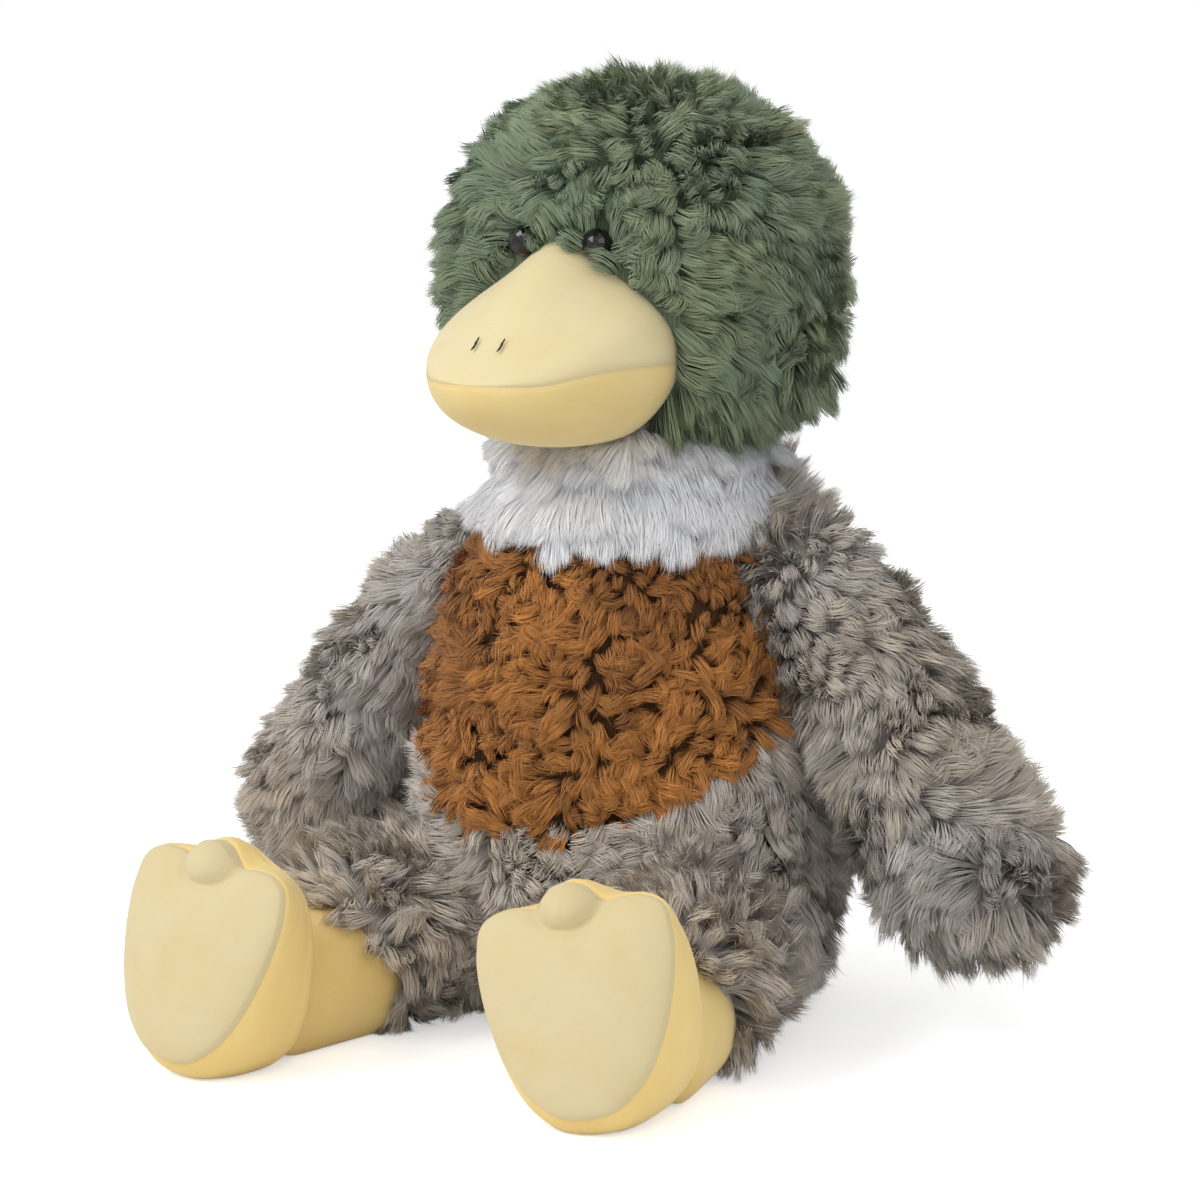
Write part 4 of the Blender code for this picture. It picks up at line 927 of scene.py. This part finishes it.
def upper_rings(seam, end):
    """The upper from the sole's seam to its upright back, then the ankle's tube."""
    toes, heel = foot_outline(FOOT_REACH_SHARES), foot_outline(HEEL_REACH_SHARES)
    rings = []
    for share in np.concatenate([np.linspace(0, 0.12, 8), np.linspace(0.15, 1.04, 34), np.linspace(1.08, 1.3, 8)]):
        fall, size, tube = (float(through(shares, share))
                            for shares in (UPPER_FALL_SHARES, UPPER_SIZE_SHARES, UPPER_TUBE_SHARES))
        back = min(share, 1)
        pinch = SEAM_PINCH / (FOOT_WIDTH / 2) * math.exp(-((share * FOOT_BACK / SEAM_REACH) ** 2))
        ring = moved(seam, foot_middle + (toes + (heel - toes) * back - foot_middle) * (size - pinch))
        ring[:, 1] = ring[:, 1] * (1 - back) + FOOT_BACK * back
        ring[:, 2] -= FOOT_SEAM_RISE * fall * (1 - ring[:, 2] / FOOT_HEIGHT)
        ring[:, 2] = np.maximum(ring[:, 2], 0.0004)
        rings.append(ring * (1 - tube) + ankle_ring(share * FOOT_BACK, end) * tube)
    return rings + [ankle_ring(depth, end) for depth in np.linspace(1.35 * FOOT_BACK, end.y, 6)]


sole_nap = nap_material("sole_nap", (0.70, 0.60, 0.365), (0.655, 0.52, 0.265), 0.5)
upper_nap = nap_material("upper_nap", (0.90, 0.69, 0.29), (0.82, 0.58, 0.20), 0.5)
for side_name, side, rest, roll in (("left", 1, FOOT_LEFT_PLACE, FOOT_LEFT_ROLL),
                                    ("right", -1, FOOT_RIGHT_PLACE, FOOT_RIGHT_ROLL)):
    floor_place = Matrix.Translation(rest) @ Matrix.Rotation(side * FOOT_SPLAY, 4, "Z")
    seam = (Matrix.Translation((0, 0, FOOT_SEAM_RISE)) @ Matrix.Rotation(-FOOT_LEAN, 4, "X")
            @ Matrix.Rotation(-side * roll, 4, "Y"))
    end = floor_place.inverted() @ Vector((side * ANKLE_END[0], ANKLE_END[1], 0))
    sole = skin("sole_panel_" + side_name, [moved(floor_place @ seam, ring) for ring in sole_rings()], sole_nap)
    upper = skin("upper_panel_" + side_name, [moved(floor_place, ring) for ring in upper_rings(seam, end)], upper_nap)
    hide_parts("foot_sole_" + side_name)
    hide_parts("foot_upper_" + side_name, "foot_stuffing_" + side_name)
    for piece in (sole, upper):
        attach(piece, "leg_" + side_name)


# Studio
# A white sheet on the floor and behind the duck, one broad lamp high on the left and a paler one
# on the right.
FLOOR_REACH = 12.0
floor_mesh = bpy.data.meshes.new("floor")
corners = [(x * FLOOR_REACH, y * FLOOR_REACH, 0) for x, y in ((-1, -1), (1, -1), (1, 1), (-1, 1))]
floor_mesh.from_pydata(corners, [], [(0, 1, 2, 3)])
floor = bpy.data.objects.new("floor", floor_mesh)
bpy.context.scene.collection.objects.link(floor)
floor_paper, tree, surface = plain_material("floor_paper", 0.9, 0.0, 0.1)
surface.inputs["Base Color"].default_value = (0.92, 0.92, 0.92, 1)
seen = tree.nodes.new("ShaderNodeLightPath")
surface.inputs["Emission Color"].default_value = (1, 1, 1, 1)
lift = math_node(tree, "MULTIPLY", seen.outputs["Is Camera Ray"], 0.50)
joined(tree, lift, surface.inputs["Emission Strength"])
floor.data.materials.append(floor_paper)

world = bpy.data.worlds.new("studio")
world.use_nodes = True
sky = world.node_tree.nodes["Background"]
seen = world.node_tree.nodes.new("ShaderNodeLightPath")
level = math_node(world.node_tree, "MULTIPLY_ADD", seen.outputs["Is Camera Ray"], 0.28, 0.72)
joined(world.node_tree, level, sky.inputs["Strength"])
sky.inputs["Color"].default_value = (1, 1, 1, 1)
bpy.context.scene.world = world


def lamp(name, place, aim, size, power):
    data = bpy.data.lights.new(name, "AREA")
    data.shape, data.size, data.energy = "DISK", size, power
    made = bpy.data.objects.new(name, data)
    made.location = place
    made.rotation_euler = (Vector(aim) - Vector(place)).to_track_quat("-Z", "Y").to_euler()
    bpy.context.scene.collection.objects.link(made)


lamp("key_lamp", (-0.9, -1.6, 1.7), (0, 0, 0.15), 1.1, 21)
lamp("fill_lamp", (1.3, -1.5, 1.5), (0, 0, 0.15), 1.2, 7)
